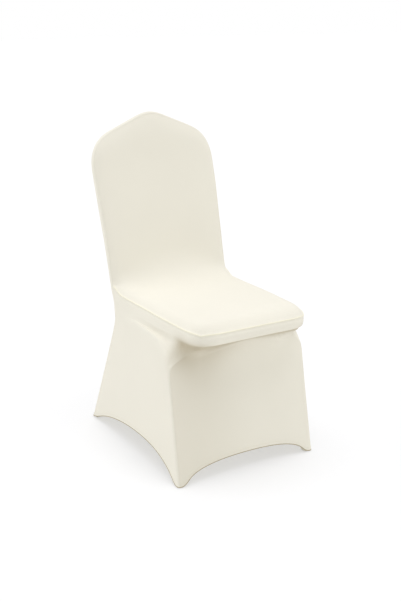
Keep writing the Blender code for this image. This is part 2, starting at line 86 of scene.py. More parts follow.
# Seat
SEAT_TOP = 0.462
SEAT_FRONT_Y = -0.307
SEAT_HALF_WIDTH = 0.195
SEAT_FRONT_HALF_WIDTH = 0.189
SEAT_CORNER_RADIUS = 0.072
SEAT_WIDEST_Y = (-0.103, 0.037)
SEAT_CROWN = {"front": 0.023, "rear": 0.015}
SEAT_CROWN_REACH = 0.027
SEAT_DOME = 0.004
SEAT_TO_BACK = 0.040
FILLET_MIDDLE = 0.100
FILLET_EDGE = 0.034
FILLET_SHARE_POWER = 1.5

# Front and sides of the seat cushion under the cloth, as steps outward and down from the seat seam
CUSHION_STEPS = (
    {"front": 0.0015, "side": 0.0020, "down": 0.011},
    {"front": 0.0000, "side": 0.0010, "down": 0.027},
    {"front": -0.0300, "side": 0.0010, "down": 0.040},
)
CUSHION_FADE = 0.060
CUSHION_TURN = 2.4

# Outer corner lines of the legs under the cloth
FRONT_LEG = {"x": 0.2300, "x_per_z": -0.012, "y": -0.271, "y_per_z": 0.185}
REAR_LEG = {"x": 0.2195, "x_per_z": -0.050, "y": 0.303, "y_per_z": -0.400}
LEG_CORNER_RADIUS = 0.008
FRONT_LEG_TOP = 0.335
REAR_LEG_TOP = 0.350
FOOT_WIDTH = 0.026

# Rear seat rail, and the heights between which the cloth passes from it to the rear legs
REAR_RAIL = {"z": 0.390, "set_in": 0.007, "fade": 0.050}
RAIL_TO_LEG = {"top": 0.405, "length": 0.075}

# Ridge that the side rail raises in the cloth, from the front leg's bend back to the rear leg
RIDGE_LINE = (
    {"x": 0.2235, "y": -0.194, "z": 0.352},
    {"x": 0.2210, "y": -0.180, "z": 0.367},
    {"x": 0.2190, "y": -0.161, "z": 0.380},
    {"x": 0.2160, "y": -0.136, "z": 0.391},
    {"x": 0.2135, "y": -0.103, "z": 0.399},
    {"x": 0.2105, "y": -0.038, "z": 0.402},
    {"x": 0.2085, "y": 0.032, "z": 0.397},
    {"x": 0.2055, "y": 0.087, "z": 0.384},
    {"x": 0.2015, "y": 0.127, "z": 0.370},
)
RIDGE_TAIL = 0.020
RIDGE_MIDDLE_Z = 0.375
RIDGE_REAR_Z = 0.360

# Hem: arches with a flat middle (large flatness) and steep ends (small steepness)
FOOT_HEM_Z = 0.003
FRONT_ARCH = {"height": 0.053, "flatness": 2.4, "steepness": 0.45}
REAR_ARCH = {"height": 0.055, "flatness": 2.4, "steepness": 0.45}
SIDE_ARCH_FRONT = {"height": 0.070, "flatness": 2.2, "steepness": 0.55}
SIDE_ARCH_REAR = {"height": 0.070, "flatness": 2.2, "steepness": 0.70}
SIDE_ARCH_PEAK = 0.38

# Foot pockets: the sole's rings as shares of its half width, then rings up from the floor, each a
# height and how far it is drawn in
POCKET_HEIGHT = 0.030
POCKET_HOLD = 0.004
POCKET_EASE = 0.0023
POCKET_CORNERS = 32
POCKET_SQUARENESS = 4.0
POCKET_SOLE_SHARES = (0.45, 0.75)
POCKET_SOLE_WALLS = 2
POCKET_RINGS = (
    (0.0, 0.0030),
    (0.0006, 0.0012),
    (0.0018, 0.0004),
    (0.0040, 0.0),
    (0.0080, 0.0),
    (0.0130, 0.0003),
    (0.0180, 0.0),
    (0.0240, 0.0002),
    (0.0290, 0.0),
)

# Coarse cage of the skin: columns from the front middle round to the rear middle, rows from seat seam to hem
HALF_STEPS = 10
SIDE_STEPS = 15
BACK_STEPS = 14
BAND_STEPS = 5
SEAM_COLUMN = HALF_STEPS + SIDE_STEPS
REAR_COLUMN = SEAM_COLUMN + BAND_STEPS
LAST_COLUMN = REAR_COLUMN + HALF_STEPS
ROWS_TO_RIDGE = 3
RIDGE_ROW = len(CUSHION_STEPS) + ROWS_TO_RIDGE
LOWER_SHARES = (0.125, 0.25, 0.375, 0.50, 0.64, 0.79, 0.91, 0.972, 1.0)
ARC_STEPS = 48
GRID_PASSES = 60
FAIRING_PASSES = 800
WELD = 1e-5
SHORTEST_SPAN = 0.002
TIGHT_BAND = 0.002
NORMAL_STEP = 0.004
ACROSS_PULL = 5.0

# Columns each side of the leg's corner that are held by the cushion, the ridge and the feet
CUSHION_HOLD = 4
RIDGE_HOLD = 2
FOOT_HOLD = 4

# Distances to the columns along the front and the side, at the seat seam and at the legs
FRONT_AT_SEAM = (0.0, 0.011, 0.022, 0.033, 0.044, 0.055, 0.075, 0.097, 0.122, 0.150)
FRONT_AT_LEG = (0.0, 0.0031, 0.0063, 0.014, 0.026, 0.040, 0.062, 0.092, 0.130, 0.175)
SIDE_AT_SEAM = (0.0, 0.011, 0.022, 0.033, 0.044, 0.055, 0.090, 0.135,
                0.185, 0.240, 0.295, 0.345, 0.390, 0.425, 0.455)
SIDE_AT_LEG = (0.0, 0.0031, 0.0063, 0.014, 0.026, 0.045, 0.085, 0.140,
               0.205, 0.275, 0.345, 0.410, 0.462, 0.505, 0.536)

# Fineness of the finished cloth: halvings of the cage's faces
FINE_LEVELS = 3
BACK_LEVELS = 2

# Relief of the cloth near its seams, crease and hems
LIP = {"rise": 0.0014, "width": 0.0060}
LIP_GROOVE = {"depth": 0.0008, "centre": 0.0064, "width": 0.0045}
CREASE = {"depth": 0.0035, "width": 0.0140, "rear_y": 0.057, "fade": 0.150, "steps": 240}
HEM_BAND = {"rise": 0.0006, "width": 0.0110, "step": 0.0020}
GATHERS = {"depth": 0.0006, "pitch": 0.0120, "reach": 0.0500, "x": 0.165, "spread": 0.055, "fade": 0.020}
UNEVEN = {"depth": 0.0005, "fade": 0.030}
UNEVEN_WAVES = ((21.0, 7.0, 13.0), (-9.0, 17.0, 24.0), (13.0, -23.0, 8.0))

# Painted shade: the cloth's colour darkened towards a tint round the crease under the cushion, reaching
# furthest below it near the left front corner, and on front-facing cloth on the left of the front
PAINTED_SHADE_TINT = (0.61, 0.56, 0.47)
SHADE_REACH = {"above": 0.014, "below": 0.030, "corner": 0.075, "x": -0.135, "spread": 0.085}
SHADE_POWER = 1.5
SHADE_ROUND_CREASE = {"y": -0.170, "fade": 0.050}
SHADE_ON_FRONT = {"share": 0.20, "from": 0.70, "over": 0.25, "x": 0.060, "spread": 0.240}
UNDER_FADE = 0.010

# Sewn lips, rolled hem edges and hem stitches
SEAM_CORD = {"radius": 0.0024, "sink": 0.0013}
BACK_CORD = {"radius": 0.0011, "sink": 0.0007}
HEM_CORD = {"radius": 0.0014, "sink": 0.0006}
CORD_SPACING = 0.0035
CORD_SIDES = 8
STITCH = {"Pitch": 0.0034, "Length": 0.0023, "Width": 0.0006}
STITCH_ABOVE_HEM = 0.0095
STITCH_PROUD = 0.0002

# Finish of the cloth, and tints of its colour: a painted highlight on the seat lip, painted shade on the
# hem edges and foot soles, and the threads' own tint
CLOTH_FINISH = {"Sheen Weight": 0.15, "Sheen Roughness": 0.5, "Specular IOR Level": 0.3}
WALE_WIDTH = 0.0009
KNIT = {"slant": 1.4, "loop": 0.25, "tone": 0.5}
KNIT_BUMP = {"Strength": 0.5, "Distance": 0.0002}
MOTTLE = {"Scale": 9.0, "Detail": 3.0}
MOTTLE_DEPTH = 0.03
LIP_HIGHLIGHT_TINT = (1.06, 1.06, 1.00)
HEM_EDGE_SHADE_TINT = (0.50, 0.44, 0.33)
THREAD_TINT = (0.96, 0.94, 0.90)
SOLE_SHADE_TINT = (0.45, 0.45, 0.42)

# Camera, fitted to the photograph's frame of 401 by 601 pixels
CAMERA_TARGET = Vector((0.0, -0.008, 0.436))
CAMERA_SENSOR = 36.0

# Where the soft lights come from, as angles round the chair from the front and above the floor
LIGHTS = {
    "top": {"colour": (0.985, 0.993, 1.050), "azimuth": 0.0, "elevation": 90.0},
    "right": {"colour": (1.0, 0.985, 0.930), "azimuth": 42.0, "elevation": 19.0},
    "left": {"colour": (1.0, 0.995, 0.990), "azimuth": -126.0, "elevation": 18.0},
}

# Floor: how far it reaches, its grey, its roughness and the glow that keeps shade on it faint
FLOOR = {"reach": 30.0, "grey": 0.45, "roughness": 0.9, "glow": 0.50}


# Small helpers
def ease(value):
    """Rise smoothly from 0 to 1."""
    t = min(max(value, 0.0), 1.0)
    return t * t * (3.0 - 2.0 * t)


def smooth(values):
    """Rise smoothly from 0 to 1, for an array."""
    t = np.clip(values, 0.0, 1.0)
    return t * t * (3.0 - 2.0 * t)


def arc(centre, radius, start, end, count):
    """Points of an arc in a plane, from one angle to another."""
    return [(centre[0] + radius * math.cos(start + (end - start) * i / count),
             centre[1] + radius * math.sin(start + (end - start) * i / count))
            for i in range(count + 1)]


def walk(points, distances):
    """Points at given distances along a polyline, and then its far end."""
    pts = np.array(points, float)
    run = np.concatenate([[0.0], np.cumsum(np.linalg.norm(np.diff(pts, axis=0), axis=1))])
    where = list(distances) + [run[-1]]
    return np.stack([np.interp(where, run, pts[:, k]) for k in range(pts.shape[1])], axis=1)


def even(points, count):
    """A polyline divided in equal steps."""
    pts = np.array(points, float)
    length = np.linalg.norm(np.diff(pts, axis=0), axis=1).sum()
    return walk(points, [length * i / count for i in range(count)])


# Curves of the chair under the cloth
def back_face_y(z):
    """Front of the back at a height: leaning, then more upright towards the crown."""
    bend = max(0.0, z - BACK_BEND_Z)
    return BACK_FOOT_Y + BACK_LEAN * (z - SEAT_TOP) - BACK_BEND * bend * bend


def rear_frame_y(z):
    """Rear of the frame at a height: back, seat rail, then the rear leg."""
    set_in = REAR_RAIL["set_in"] * ease((SEAT_TOP - z) / REAR_RAIL["fade"])
    back_y = back_face_y(max(z, REAR_RAIL["z"])) + BACK_THICKNESS - set_in
    leg_y = REAR_LEG["y"] + REAR_LEG["y_per_z"] * z
    share = ease((RAIL_TO_LEG["top"] - z) / RAIL_TO_LEG["length"])
    return back_y * (1.0 - share) + leg_y * share


def front_corner(z):
    """Outer corner of the front leg at a height."""
    return FRONT_LEG["x"] + FRONT_LEG["x_per_z"] * z, FRONT_LEG["y"] + FRONT_LEG["y_per_z"] * z


def rear_corner(z):
    """Outer corner of the rear leg, or of the back above it, at a height."""
    leg_x = REAR_LEG["x"] + REAR_LEG["x_per_z"] * min(z, REAR_LEG_TOP)
    share = ease((z - REAR_LEG_TOP) / (SEAT_TOP - REAR_LEG_TOP))
    return leg_x * (1.0 - share) + BASE_HALF_WIDTH * share, rear_frame_y(z)


def back_outline():
    """Right half of the back's outline, from the seat up to the apex, as x and z."""
    apex_z = CROWN_TOP + APEX_RADIUS * (1.0 / math.cos(ROOF_SLOPE) - 1.0)
    corner_z = apex_z - math.tan(ROOF_SLOPE) * SHOULDER_HALF_WIDTH
    turn = math.pi / 2.0 - ROOF_SLOPE
    reach = SHOULDER_RADIUS * math.tan(turn / 2.0)
    centre = (SHOULDER_HALF_WIDTH - SHOULDER_RADIUS, corner_z - reach)
    shoulder = arc(centre, SHOULDER_RADIUS, 0.0, turn, ARC_STEPS)
    crown = arc((0.0, CROWN_TOP - APEX_RADIUS), APEX_RADIUS, turn, math.pi / 2.0, ARC_STEPS)
    half = ARC_STEPS // 2
    lower = even([(p["x"], p["z"]) for p in BACK_SIDE] + shoulder[:half + 1], BACK_STEPS)
    upper = even(shoulder[half:] + crown, HALF_STEPS)
    return np.concatenate([lower, upper[1:]])


def seat_outline():
    """Right half of the seat's outline: front edge from the middle, then the side up to the back."""
    front = SEAT_FRONT_HALF_WIDTH
    centre = (front - SEAT_CORNER_RADIUS, SEAT_FRONT_Y + SEAT_CORNER_RADIUS)
    corner = arc(centre, SEAT_CORNER_RADIUS, -math.pi / 2.0, 0.0, ARC_STEPS)
    half = ARC_STEPS // 2
    edge = walk(corner[half::-1] + [(0.0, SEAT_FRONT_Y)], FRONT_AT_SEAM)[::-1]
    along = [(SEAT_HALF_WIDTH, y) for y in SEAT_WIDEST_Y] + [(BASE_HALF_WIDTH, BACK_FOOT_Y)]
    return edge, walk(corner[half:] + along, SIDE_AT_SEAM)


def fill_grid(side, bottom, top):
    """Grid of flat points from the middle line to a side, rows running from bottom to top."""
    columns, rows = len(bottom), len(side)
    middle = np.stack([np.zeros(rows), np.linspace(bottom[0][1], top[0][1], rows)], axis=1)
    a = np.linspace(0.0, 1.0, columns)[:, None, None]
    b = np.linspace(0.0, 1.0, rows)[None, :, None]
    grid = ((1 - a) * middle[None] + a * side[None] + (1 - b) * bottom[:, None] + b * top[:, None]
            - (1 - a) * (1 - b) * bottom[0] - a * (1 - b) * bottom[-1]
            - (1 - a) * b * top[0] - a * b * top[-1])
    for _ in range(GRID_PASSES):
        grid[1:-1, 1:-1] = (grid[:-2, 1:-1] + grid[2:, 1:-1] + grid[1:-1, :-2] + grid[1:-1, 2:]) / 4.0
        grid[0, 1:-1, 1] = grid[1, 1:-1, 1]
    return grid


# Inside back and seat
def straight_profile(v):
    """Seat line for v < 0 and back line for v > 0, meeting in a sharp corner."""
    if v <= 0.0:
        return np.array([BACK_FOOT_Y + v, SEAT_TOP])
    return np.array([back_face_y(SEAT_TOP + v), SEAT_TOP + v])


def profile_point(v, x):
    """Seat and back line with the corner between them bridged by the taut cloth."""
    share = max(0.0, 1.0 - (x / SHOULDER_HALF_WIDTH) ** 2) ** FILLET_SHARE_POWER
    reach = FILLET_EDGE + (FILLET_MIDDLE - FILLET_EDGE) * share
    if abs(v) >= reach:
        return straight_profile(v)
    t = (v + reach) / (2.0 * reach)
    low, high = straight_profile(-reach), straight_profile(reach)
    return (1 - t) ** 2 * low + 2 * t * (1 - t) * straight_profile(0.0) + t * t * high


def surface_normal(v, x):
    """Direction out of the inside back and seat, as y and z."""
    along = profile_point(v + NORMAL_STEP, x) - profile_point(v - NORMAL_STEP, x)
    along /= np.linalg.norm(along)
    return np.array([-along[1], along[0]])


def seat_crown(v):
    """How far the seat's seam lies below its top: more in front than at the back."""
    share = min(max(1.0 + v / (BACK_FOOT_Y - SEAT_FRONT_Y), 0.0), 1.0)
    return SEAT_CROWN["front"] * (1.0 - share) + SEAT_CROWN["rear"] * share


def distance_to(point, line):
    """Shortest distance from a flat point to a polyline."""
    start, end = line[:-1], line[1:]
    span = end - start
    share = np.clip(((point - start) * span).sum(1) / np.maximum((span ** 2).sum(1), 1e-12), 0.0, 1.0)
    return np.linalg.norm(start + share[:, None] * span - point, axis=1).min()


def front_grid(seam):
    """Inside back and seat as one cloth, from the seat's front edge to the crown."""
    edge, seat_side = seat_outline()
    bottom = np.array([(p[0], p[1] - BACK_FOOT_Y) for p in edge])
    side = np.array([(p[0], p[1] - BACK_FOOT_Y) for p in seat_side[:-1]]
                    + [(p[0], p[2] - SEAT_TOP) for p in seam[:BACK_STEPS + 1]])
    top = np.array([(p[0], p[2] - SEAT_TOP) for p in seam[BACK_STEPS:]])[::-1]
    flat = fill_grid(side, bottom, top)
    border = np.concatenate([bottom, side[1:], top[::-1][1:]])
    grid = np.zeros(flat.shape[:2] + (3,))
    for i, j in np.ndindex(flat.shape[:2]):
        x, v = flat[i, j]
        near = distance_to(flat[i, j], border)
        on_seat = ease(0.5 - v / SEAT_TO_BACK)
        puff = BACK_PUFF * (1.0 - on_seat) * min(near / BACK_PUFF_REACH, 1.0)
        edge = max(0.0, 1.0 - near / SEAT_CROWN_REACH) ** 2
        drop = on_seat * ((seat_crown(v) + SEAT_DOME) * edge - SEAT_DOME)
        yz = profile_point(v, x) + surface_normal(v, x) * (puff - drop)
        grid[i, j] = (x, yz[0], yz[1])
    grid[-1, SIDE_STEPS:] = seam[:BACK_STEPS + 1]
    grid[:, -1] = seam[BACK_STEPS:][::-1]
    return grid


# Outside back
def edge_point(angle):
    """Inset and depth of a point round the front edge of the back."""
    return BACK_EDGE_RADIUS * (1.0 - math.sin(angle)), BACK_EDGE_RADIUS * (1.0 - math.cos(angle))


def back_bands():
    """Bands of cloth round the edge of the back, from the seam to the rear face."""
    outline = back_outline()
    tangent = np.gradient(outline, axis=0)
    tangent /= np.linalg.norm(tangent, axis=1)[:, None]
    inward = np.stack([-tangent[:, 1], tangent[:, 0]], axis=1)
    inward[0] = (-1.0, 0.0)
    inward[-1] = (0.0, -1.0)
    radius = BACK_EDGE_RADIUS
    slant = radius * (1.0 - math.sqrt(0.5))
    bands = np.zeros((BAND_STEPS + 1, len(outline), 3))
    for t, point in enumerate(outline):
        swing = math.sin(math.pi * min(t / BACK_STEPS, 1.0)) ** 2
        seam = math.radians(90.0 - SEAM_SWING * swing)
        steps = (edge_point(seam), edge_point((seam + math.pi / 2.0) / 2.0), (0.0, radius),
                 (0.0, BACK_THICKNESS - radius), (slant, BACK_THICKNESS - slant), (radius, BACK_THICKNESS))
        for b, (inset, depth) in enumerate(steps):
            x, z = point + inward[t] * inset
            bands[b, t] = (x, back_face_y(z) + depth, z)
    return spread_bands(bands)


def spread_bands(bands):
    """Where the seam lies on the side of the back, share the band's width out evenly."""
    first, last = bands[0].copy(), bands[3].copy()
    for b in (1, 2):
        tight = np.linalg.norm(bands[b] - bands[0], axis=1) < TIGHT_BAND * b
        bands[b][tight] = (first + (last - first) * b / 3.0)[tight]
    return bands


def rear_grid(rim):
    """Outside of the back above the seat."""
    side = rim[:BACK_STEPS + 1][:, [0, 2]]
    top = rim[BACK_STEPS:][:, [0, 2]][::-1]
    across = np.linspace(0.0, side[0, 0], HALF_STEPS + 1)
    bottom = np.stack([across, np.full(len(across), side[0, 1])], axis=1)
    flat = fill_grid(side, bottom, top)
    grid = np.zeros(flat.shape[:2] + (3,))
    for i, j in np.ndindex(flat.shape[:2]):
        x, z = flat[i, j]
        lift = max(0.0, (REAR_SPAN_TOP - z) / (REAR_SPAN_TOP - SEAT_TOP)) ** 2
        lift *= REAR_SPAN * (1.0 - (x / side[0, 0]) ** 2)
        grid[i, j] = (x, back_face_y(z) + BACK_THICKNESS + lift, z)
    grid[-1] = rim[:BACK_STEPS + 1]
    grid[:, -1] = rim[BACK_STEPS:][::-1]
    return grid


# Skirt and the lower part of the outside back
def side_stations(z):
    """Distances to the side's columns at a height: the foot keeps its own, the rest share the length."""
    full = rear_frame_y(0.0) - front_corner(0.0)[1]
    scale = (rear_frame_y(z) - front_corner(z)[1]) / full
    return [d if d <= FOOT_WIDTH else FOOT_WIDTH + (d - FOOT_WIDTH) * scale for d in SIDE_AT_LEG]


def leg_ring(z):
    """Right half of the ring that the legs hold at a height, column by column."""
    r = LEG_CORNER_RADIUS
    fx, fy = front_corner(z)
    rx, ry = rear_corner(z)
    front_arc = arc((fx - r, fy + r), r, -math.pi / 2.0, 0.0, ARC_STEPS)
    half = ARC_STEPS // 2
    front = walk(front_arc[half::-1] + [(0.0, fy)], FRONT_AT_LEG)[::-1]
    side = walk(front_arc[half:] + [(rx, ry - r)], side_stations(z))
    corner = even(arc((rx - r, ry - r), r, 0.0, math.pi / 2.0, ARC_STEPS), BAND_STEPS)
    rear_x = np.linspace(rx - FOOT_WIDTH, 0.0, HALF_STEPS)
    rear = np.stack([rear_x, np.full(HALF_STEPS, ry)], axis=1)
    return np.concatenate([front, side[1:], corner[1:], rear])


def hem_height(column, x, y):
    """Height of the hem at a column: an arch on each side, down to the floor at each foot."""
    if column <= HALF_STEPS or column > SEAM_COLUMN:
        leg, arch = (FRONT_LEG, FRONT_ARCH) if column <= HALF_STEPS else (REAR_LEG, REAR_ARCH)
        share = x / (leg["x"] - FOOT_WIDTH)
    else:
        start = FRONT_LEG["y"] + FOOT_WIDTH
        share = (y - start) / (REAR_LEG["y"] - FOOT_WIDTH - start) - SIDE_ARCH_PEAK
        arch = SIDE_ARCH_FRONT if share < 0.0 else SIDE_ARCH_REAR
        share = -share / SIDE_ARCH_PEAK if share < 0.0 else share / (1.0 - SIDE_ARCH_PEAK)
    rise = 1.0 - min(max(share, 0.0), 1.0) ** arch["flatness"]
    return max(arch["height"] * rise ** arch["steepness"], FOOT_HEM_Z)


def cushion_rows(rim):
    """Rows of cloth down the side of the cushion, following its rim outward and then under."""
    tangent = np.gradient(rim[:, :2], axis=0)
    tangent /= np.linalg.norm(tangent, axis=1)[:, None]
    outward = np.stack([tangent[:, 1], -tangent[:, 0]], axis=1)
    outward[0] = (0.0, -1.0)
    rows = []
    for step in CUSHION_STEPS:
        row = rim.copy()
        row[:, 2] -= step["down"]
        for k in range(LAST_COLUMN + 1):
            if k < SEAM_COLUMN:
                ahead = (1.0 - outward[k, 0] ** 2) ** CUSHION_TURN
                out = step["front"] * ahead + step["side"] * (1.0 - ahead)
                row[k, :2] += outward[k] * out * ease((rim[SEAM_COLUMN, 1] - rim[k, 1]) / CUSHION_FADE)
            else:
                row[k, 1] += rear_frame_y(row[k, 2]) - rear_frame_y(rim[k, 2])
        rows.append(row)
    return rows


def ridge_row():
    """Row of cloth that lies on the front legs' tops, the side rails and the rear legs."""
    top = leg_ring(FRONT_LEG_TOP)
    row = np.zeros((LAST_COLUMN + 1, 3))
    for k in range(HALF_STEPS + 1):
        z = FRONT_LEG_TOP + (RIDGE_MIDDLE_Z - FRONT_LEG_TOP) * ease(1.0 - top[k, 0] / top[HALF_STEPS, 0])
        row[k] = (*leg_ring(z)[k], z)
    rear = leg_ring(RIDGE_REAR_Z)
    end = (*rear[SEAM_COLUMN], RIDGE_REAR_Z)
    corner = [(*top[k], FRONT_LEG_TOP) for k in range(HALF_STEPS, HALF_STEPS + RIDGE_HOLD + 1)]
    line = np.array(corner + [(p["x"], p["y"], p["z"]) for p in RIDGE_LINE] + [end])
    length = np.linalg.norm(np.diff(line, axis=0), axis=1).sum()
    scale = (length - FOOT_WIDTH) / (SIDE_AT_LEG[-1] + RIDGE_TAIL - FOOT_WIDTH)
    stations = [d if d <= FOOT_WIDTH else FOOT_WIDTH + (d - FOOT_WIDTH) * scale for d in SIDE_AT_LEG]
    row[HALF_STEPS:SEAM_COLUMN + 1] = walk(line, stations)
    row[SEAM_COLUMN + 1:, :2] = rear[SEAM_COLUMN + 1:]
    row[SEAM_COLUMN + 1:, 2] = RIDGE_REAR_Z
    return row


def skirt_tube(rim):
    """Right half of the cloth round the cushion, legs and hem, drawn taut between what holds it."""
    foot_ring = leg_ring(0.0)
    rows = [rim] + cushion_rows(rim)
    ridge = ridge_row()
    under = rows[-1]
    for n in range(1, ROWS_TO_RIDGE):
        row = under + (ridge - under) * n / ROWS_TO_RIDGE
        for k in range(SEAM_COLUMN, LAST_COLUMN + 1):
            row[k, :2] = leg_ring(row[k, 2])[k]
        rows.append(row)
    rows.append(ridge)
    for share in LOWER_SHARES:
        row = np.zeros_like(rim)
        for k in range(LAST_COLUMN + 1):
            hem = hem_height(k, *foot_ring[k])
            z = ridge[k, 2] + (hem - ridge[k, 2]) * share
            offset = ridge[k, :2] - leg_ring(ridge[k, 2])[k]
            row[k] = (*(leg_ring(z)[k] + offset * (1.0 - share) ** 2), z)
        rows.append(row)
    return draw_taut(np.stack(rows, axis=1))


def held_points(tube):
    """Which points of the tube bear on the cushion, the rails, the legs and the feet."""
    held = np.zeros(tube.shape[:2], bool)
    held[:HALF_STEPS + CUSHION_HOLD, :len(CUSHION_STEPS)] = True
    held[:HALF_STEPS + 1, :len(CUSHION_STEPS) + 1] = True
    held[:, 0] = True
    held[:, -1] = True
    held[SEAM_COLUMN:REAR_COLUMN + 1] = True
    held[HALF_STEPS - RIDGE_HOLD:SEAM_COLUMN, RIDGE_ROW] = True
    held[HALF_STEPS - RIDGE_HOLD:HALF_STEPS + RIDGE_HOLD + 1, RIDGE_ROW:] = True
    feet = list(range(HALF_STEPS - FOOT_HOLD, HALF_STEPS + FOOT_HOLD + 1))
    feet += list(range(SEAM_COLUMN - 1, REAR_COLUMN + 2))
    held[feet] |= tube[feet, :, 2] <= POCKET_HEIGHT + POCKET_HOLD
    return held


def draw_taut(tube):
    """Average the free points in plan until the cloth is taut between the points that are held."""
    held = held_points(tube)[..., None]
    mirrored = (-1.0, 1.0, 1.0)
    along = np.ones((1, tube.shape[1], 1))
    along[:, len(CUSHION_STEPS) + 1:] = ACROSS_PULL
    weights = []
    for pull, near in zip((along, along, 1.0, 1.0), neighbours(tube, mirrored)):
        weights.append(pull / np.maximum(np.linalg.norm(near - tube, axis=2), SHORTEST_SPAN)[..., None])
    total = sum(weights)
    for _ in range(FAIRING_PASSES):
        plan = tube[..., :2]
        mean = sum(w * near for w, near in zip(weights, neighbours(plan, mirrored[:2]))) / total
        tube[..., :2] = np.where(held, plan, mean)
    tube[[0, -1], :, 0] = 0.0
    return tube


def neighbours(points, mirrored):
    """The four neighbours of every point, the other half being the mirror image of this one."""
    before = np.concatenate([points[1:2] * mirrored, points[:-1]])
    after = np.concatenate([points[1:], points[-2:-1] * mirrored])
    return before, after, np.roll(points, 1, axis=1), np.roll(points, -1, axis=1)


# Skin of the whole cover
def flat_lengths(grid, axis):
    """Lengths along a grid's columns or rows, averaged over the other way, for the cloth's own map."""
    steps = np.linalg.norm(np.diff(grid, axis=axis), axis=2).mean(axis=1 - axis)
    return np.concatenate([[0.0], np.cumsum(steps)])


def add_grid(mesh, grid, tags):
    """Add a grid of quads, each with its panel's tag and its place on the flat cloth in metres."""
    columns, rows = grid.shape[:2]
    across, along = flat_lengths(grid, 0), flat_lengths(grid, 1)
    cloth_map = mesh.loops.layers.uv["cloth"]
    verts = [[mesh.verts.new(grid[i, j]) for j in range(rows)] for i in range(columns)]
    for i in range(columns - 1):
        for j in range(rows - 1):
            cells = ((i, j), (i + 1, j), (i + 1, j + 1), (i, j + 1))
            face = mesh.faces.new([verts[a][b] for a, b in cells])
            face.material_index = tags[i] if isinstance(tags, list) else tags
            for loop, (a, b) in zip(face.loops, cells):
                loop[cloth_map].uv = (across[a], along[b])


def skin_cage():
    """Coarse welded skin of the whole cover, its faces tagged by panel, and the crease under its cushion."""
    bands = back_bands()
    front = front_grid(bands[0])
    rear = rear_grid(bands[-1])
    rim = np.concatenate([front[:, 0], front[-1, 1:SIDE_STEPS + 1], bands[1:, 0], rear[:-1, 0][::-1]])
    tube = skirt_tube(rim)
    crease = even(tube[:SEAM_COLUMN, len(CUSHION_STEPS)], CREASE["steps"])
    skin = bmesh.new()
    skin.loops.layers.uv.new("cloth")
    add_grid(skin, front, FRONT)
    add_grid(skin, bands, BACK)
    add_grid(skin, rear, BACK)
    add_grid(skin, tube, [SKIRT] * SEAM_COLUMN + [BACK] * (LAST_COLUMN - SEAM_COLUMN))
    bmesh.ops.remove_doubles(skin, verts=skin.verts, dist=WELD)
    bmesh.ops.mirror(skin, geom=skin.verts[:] + skin.edges[:] + skin.faces[:], axis="X", merge_dist=WELD)
    bmesh.ops.remove_doubles(skin, verts=skin.verts, dist=WELD)
    bmesh.ops.recalc_face_normals(skin, faces=skin.faces)
    crown = max(skin.faces, key=lambda face: face.calc_center_median().z)
    if crown.normal.z < 0.0:
        bmesh.ops.reverse_faces(skin, faces=skin.faces)
    mesh = bpy.data.meshes.new("skin_cage")
    skin.to_mesh(mesh)
    skin.free()
    return bpy.data.objects.new("skin_cage", mesh), np.concatenate([crease, crease * (-1.0, 1.0, 1.0)])


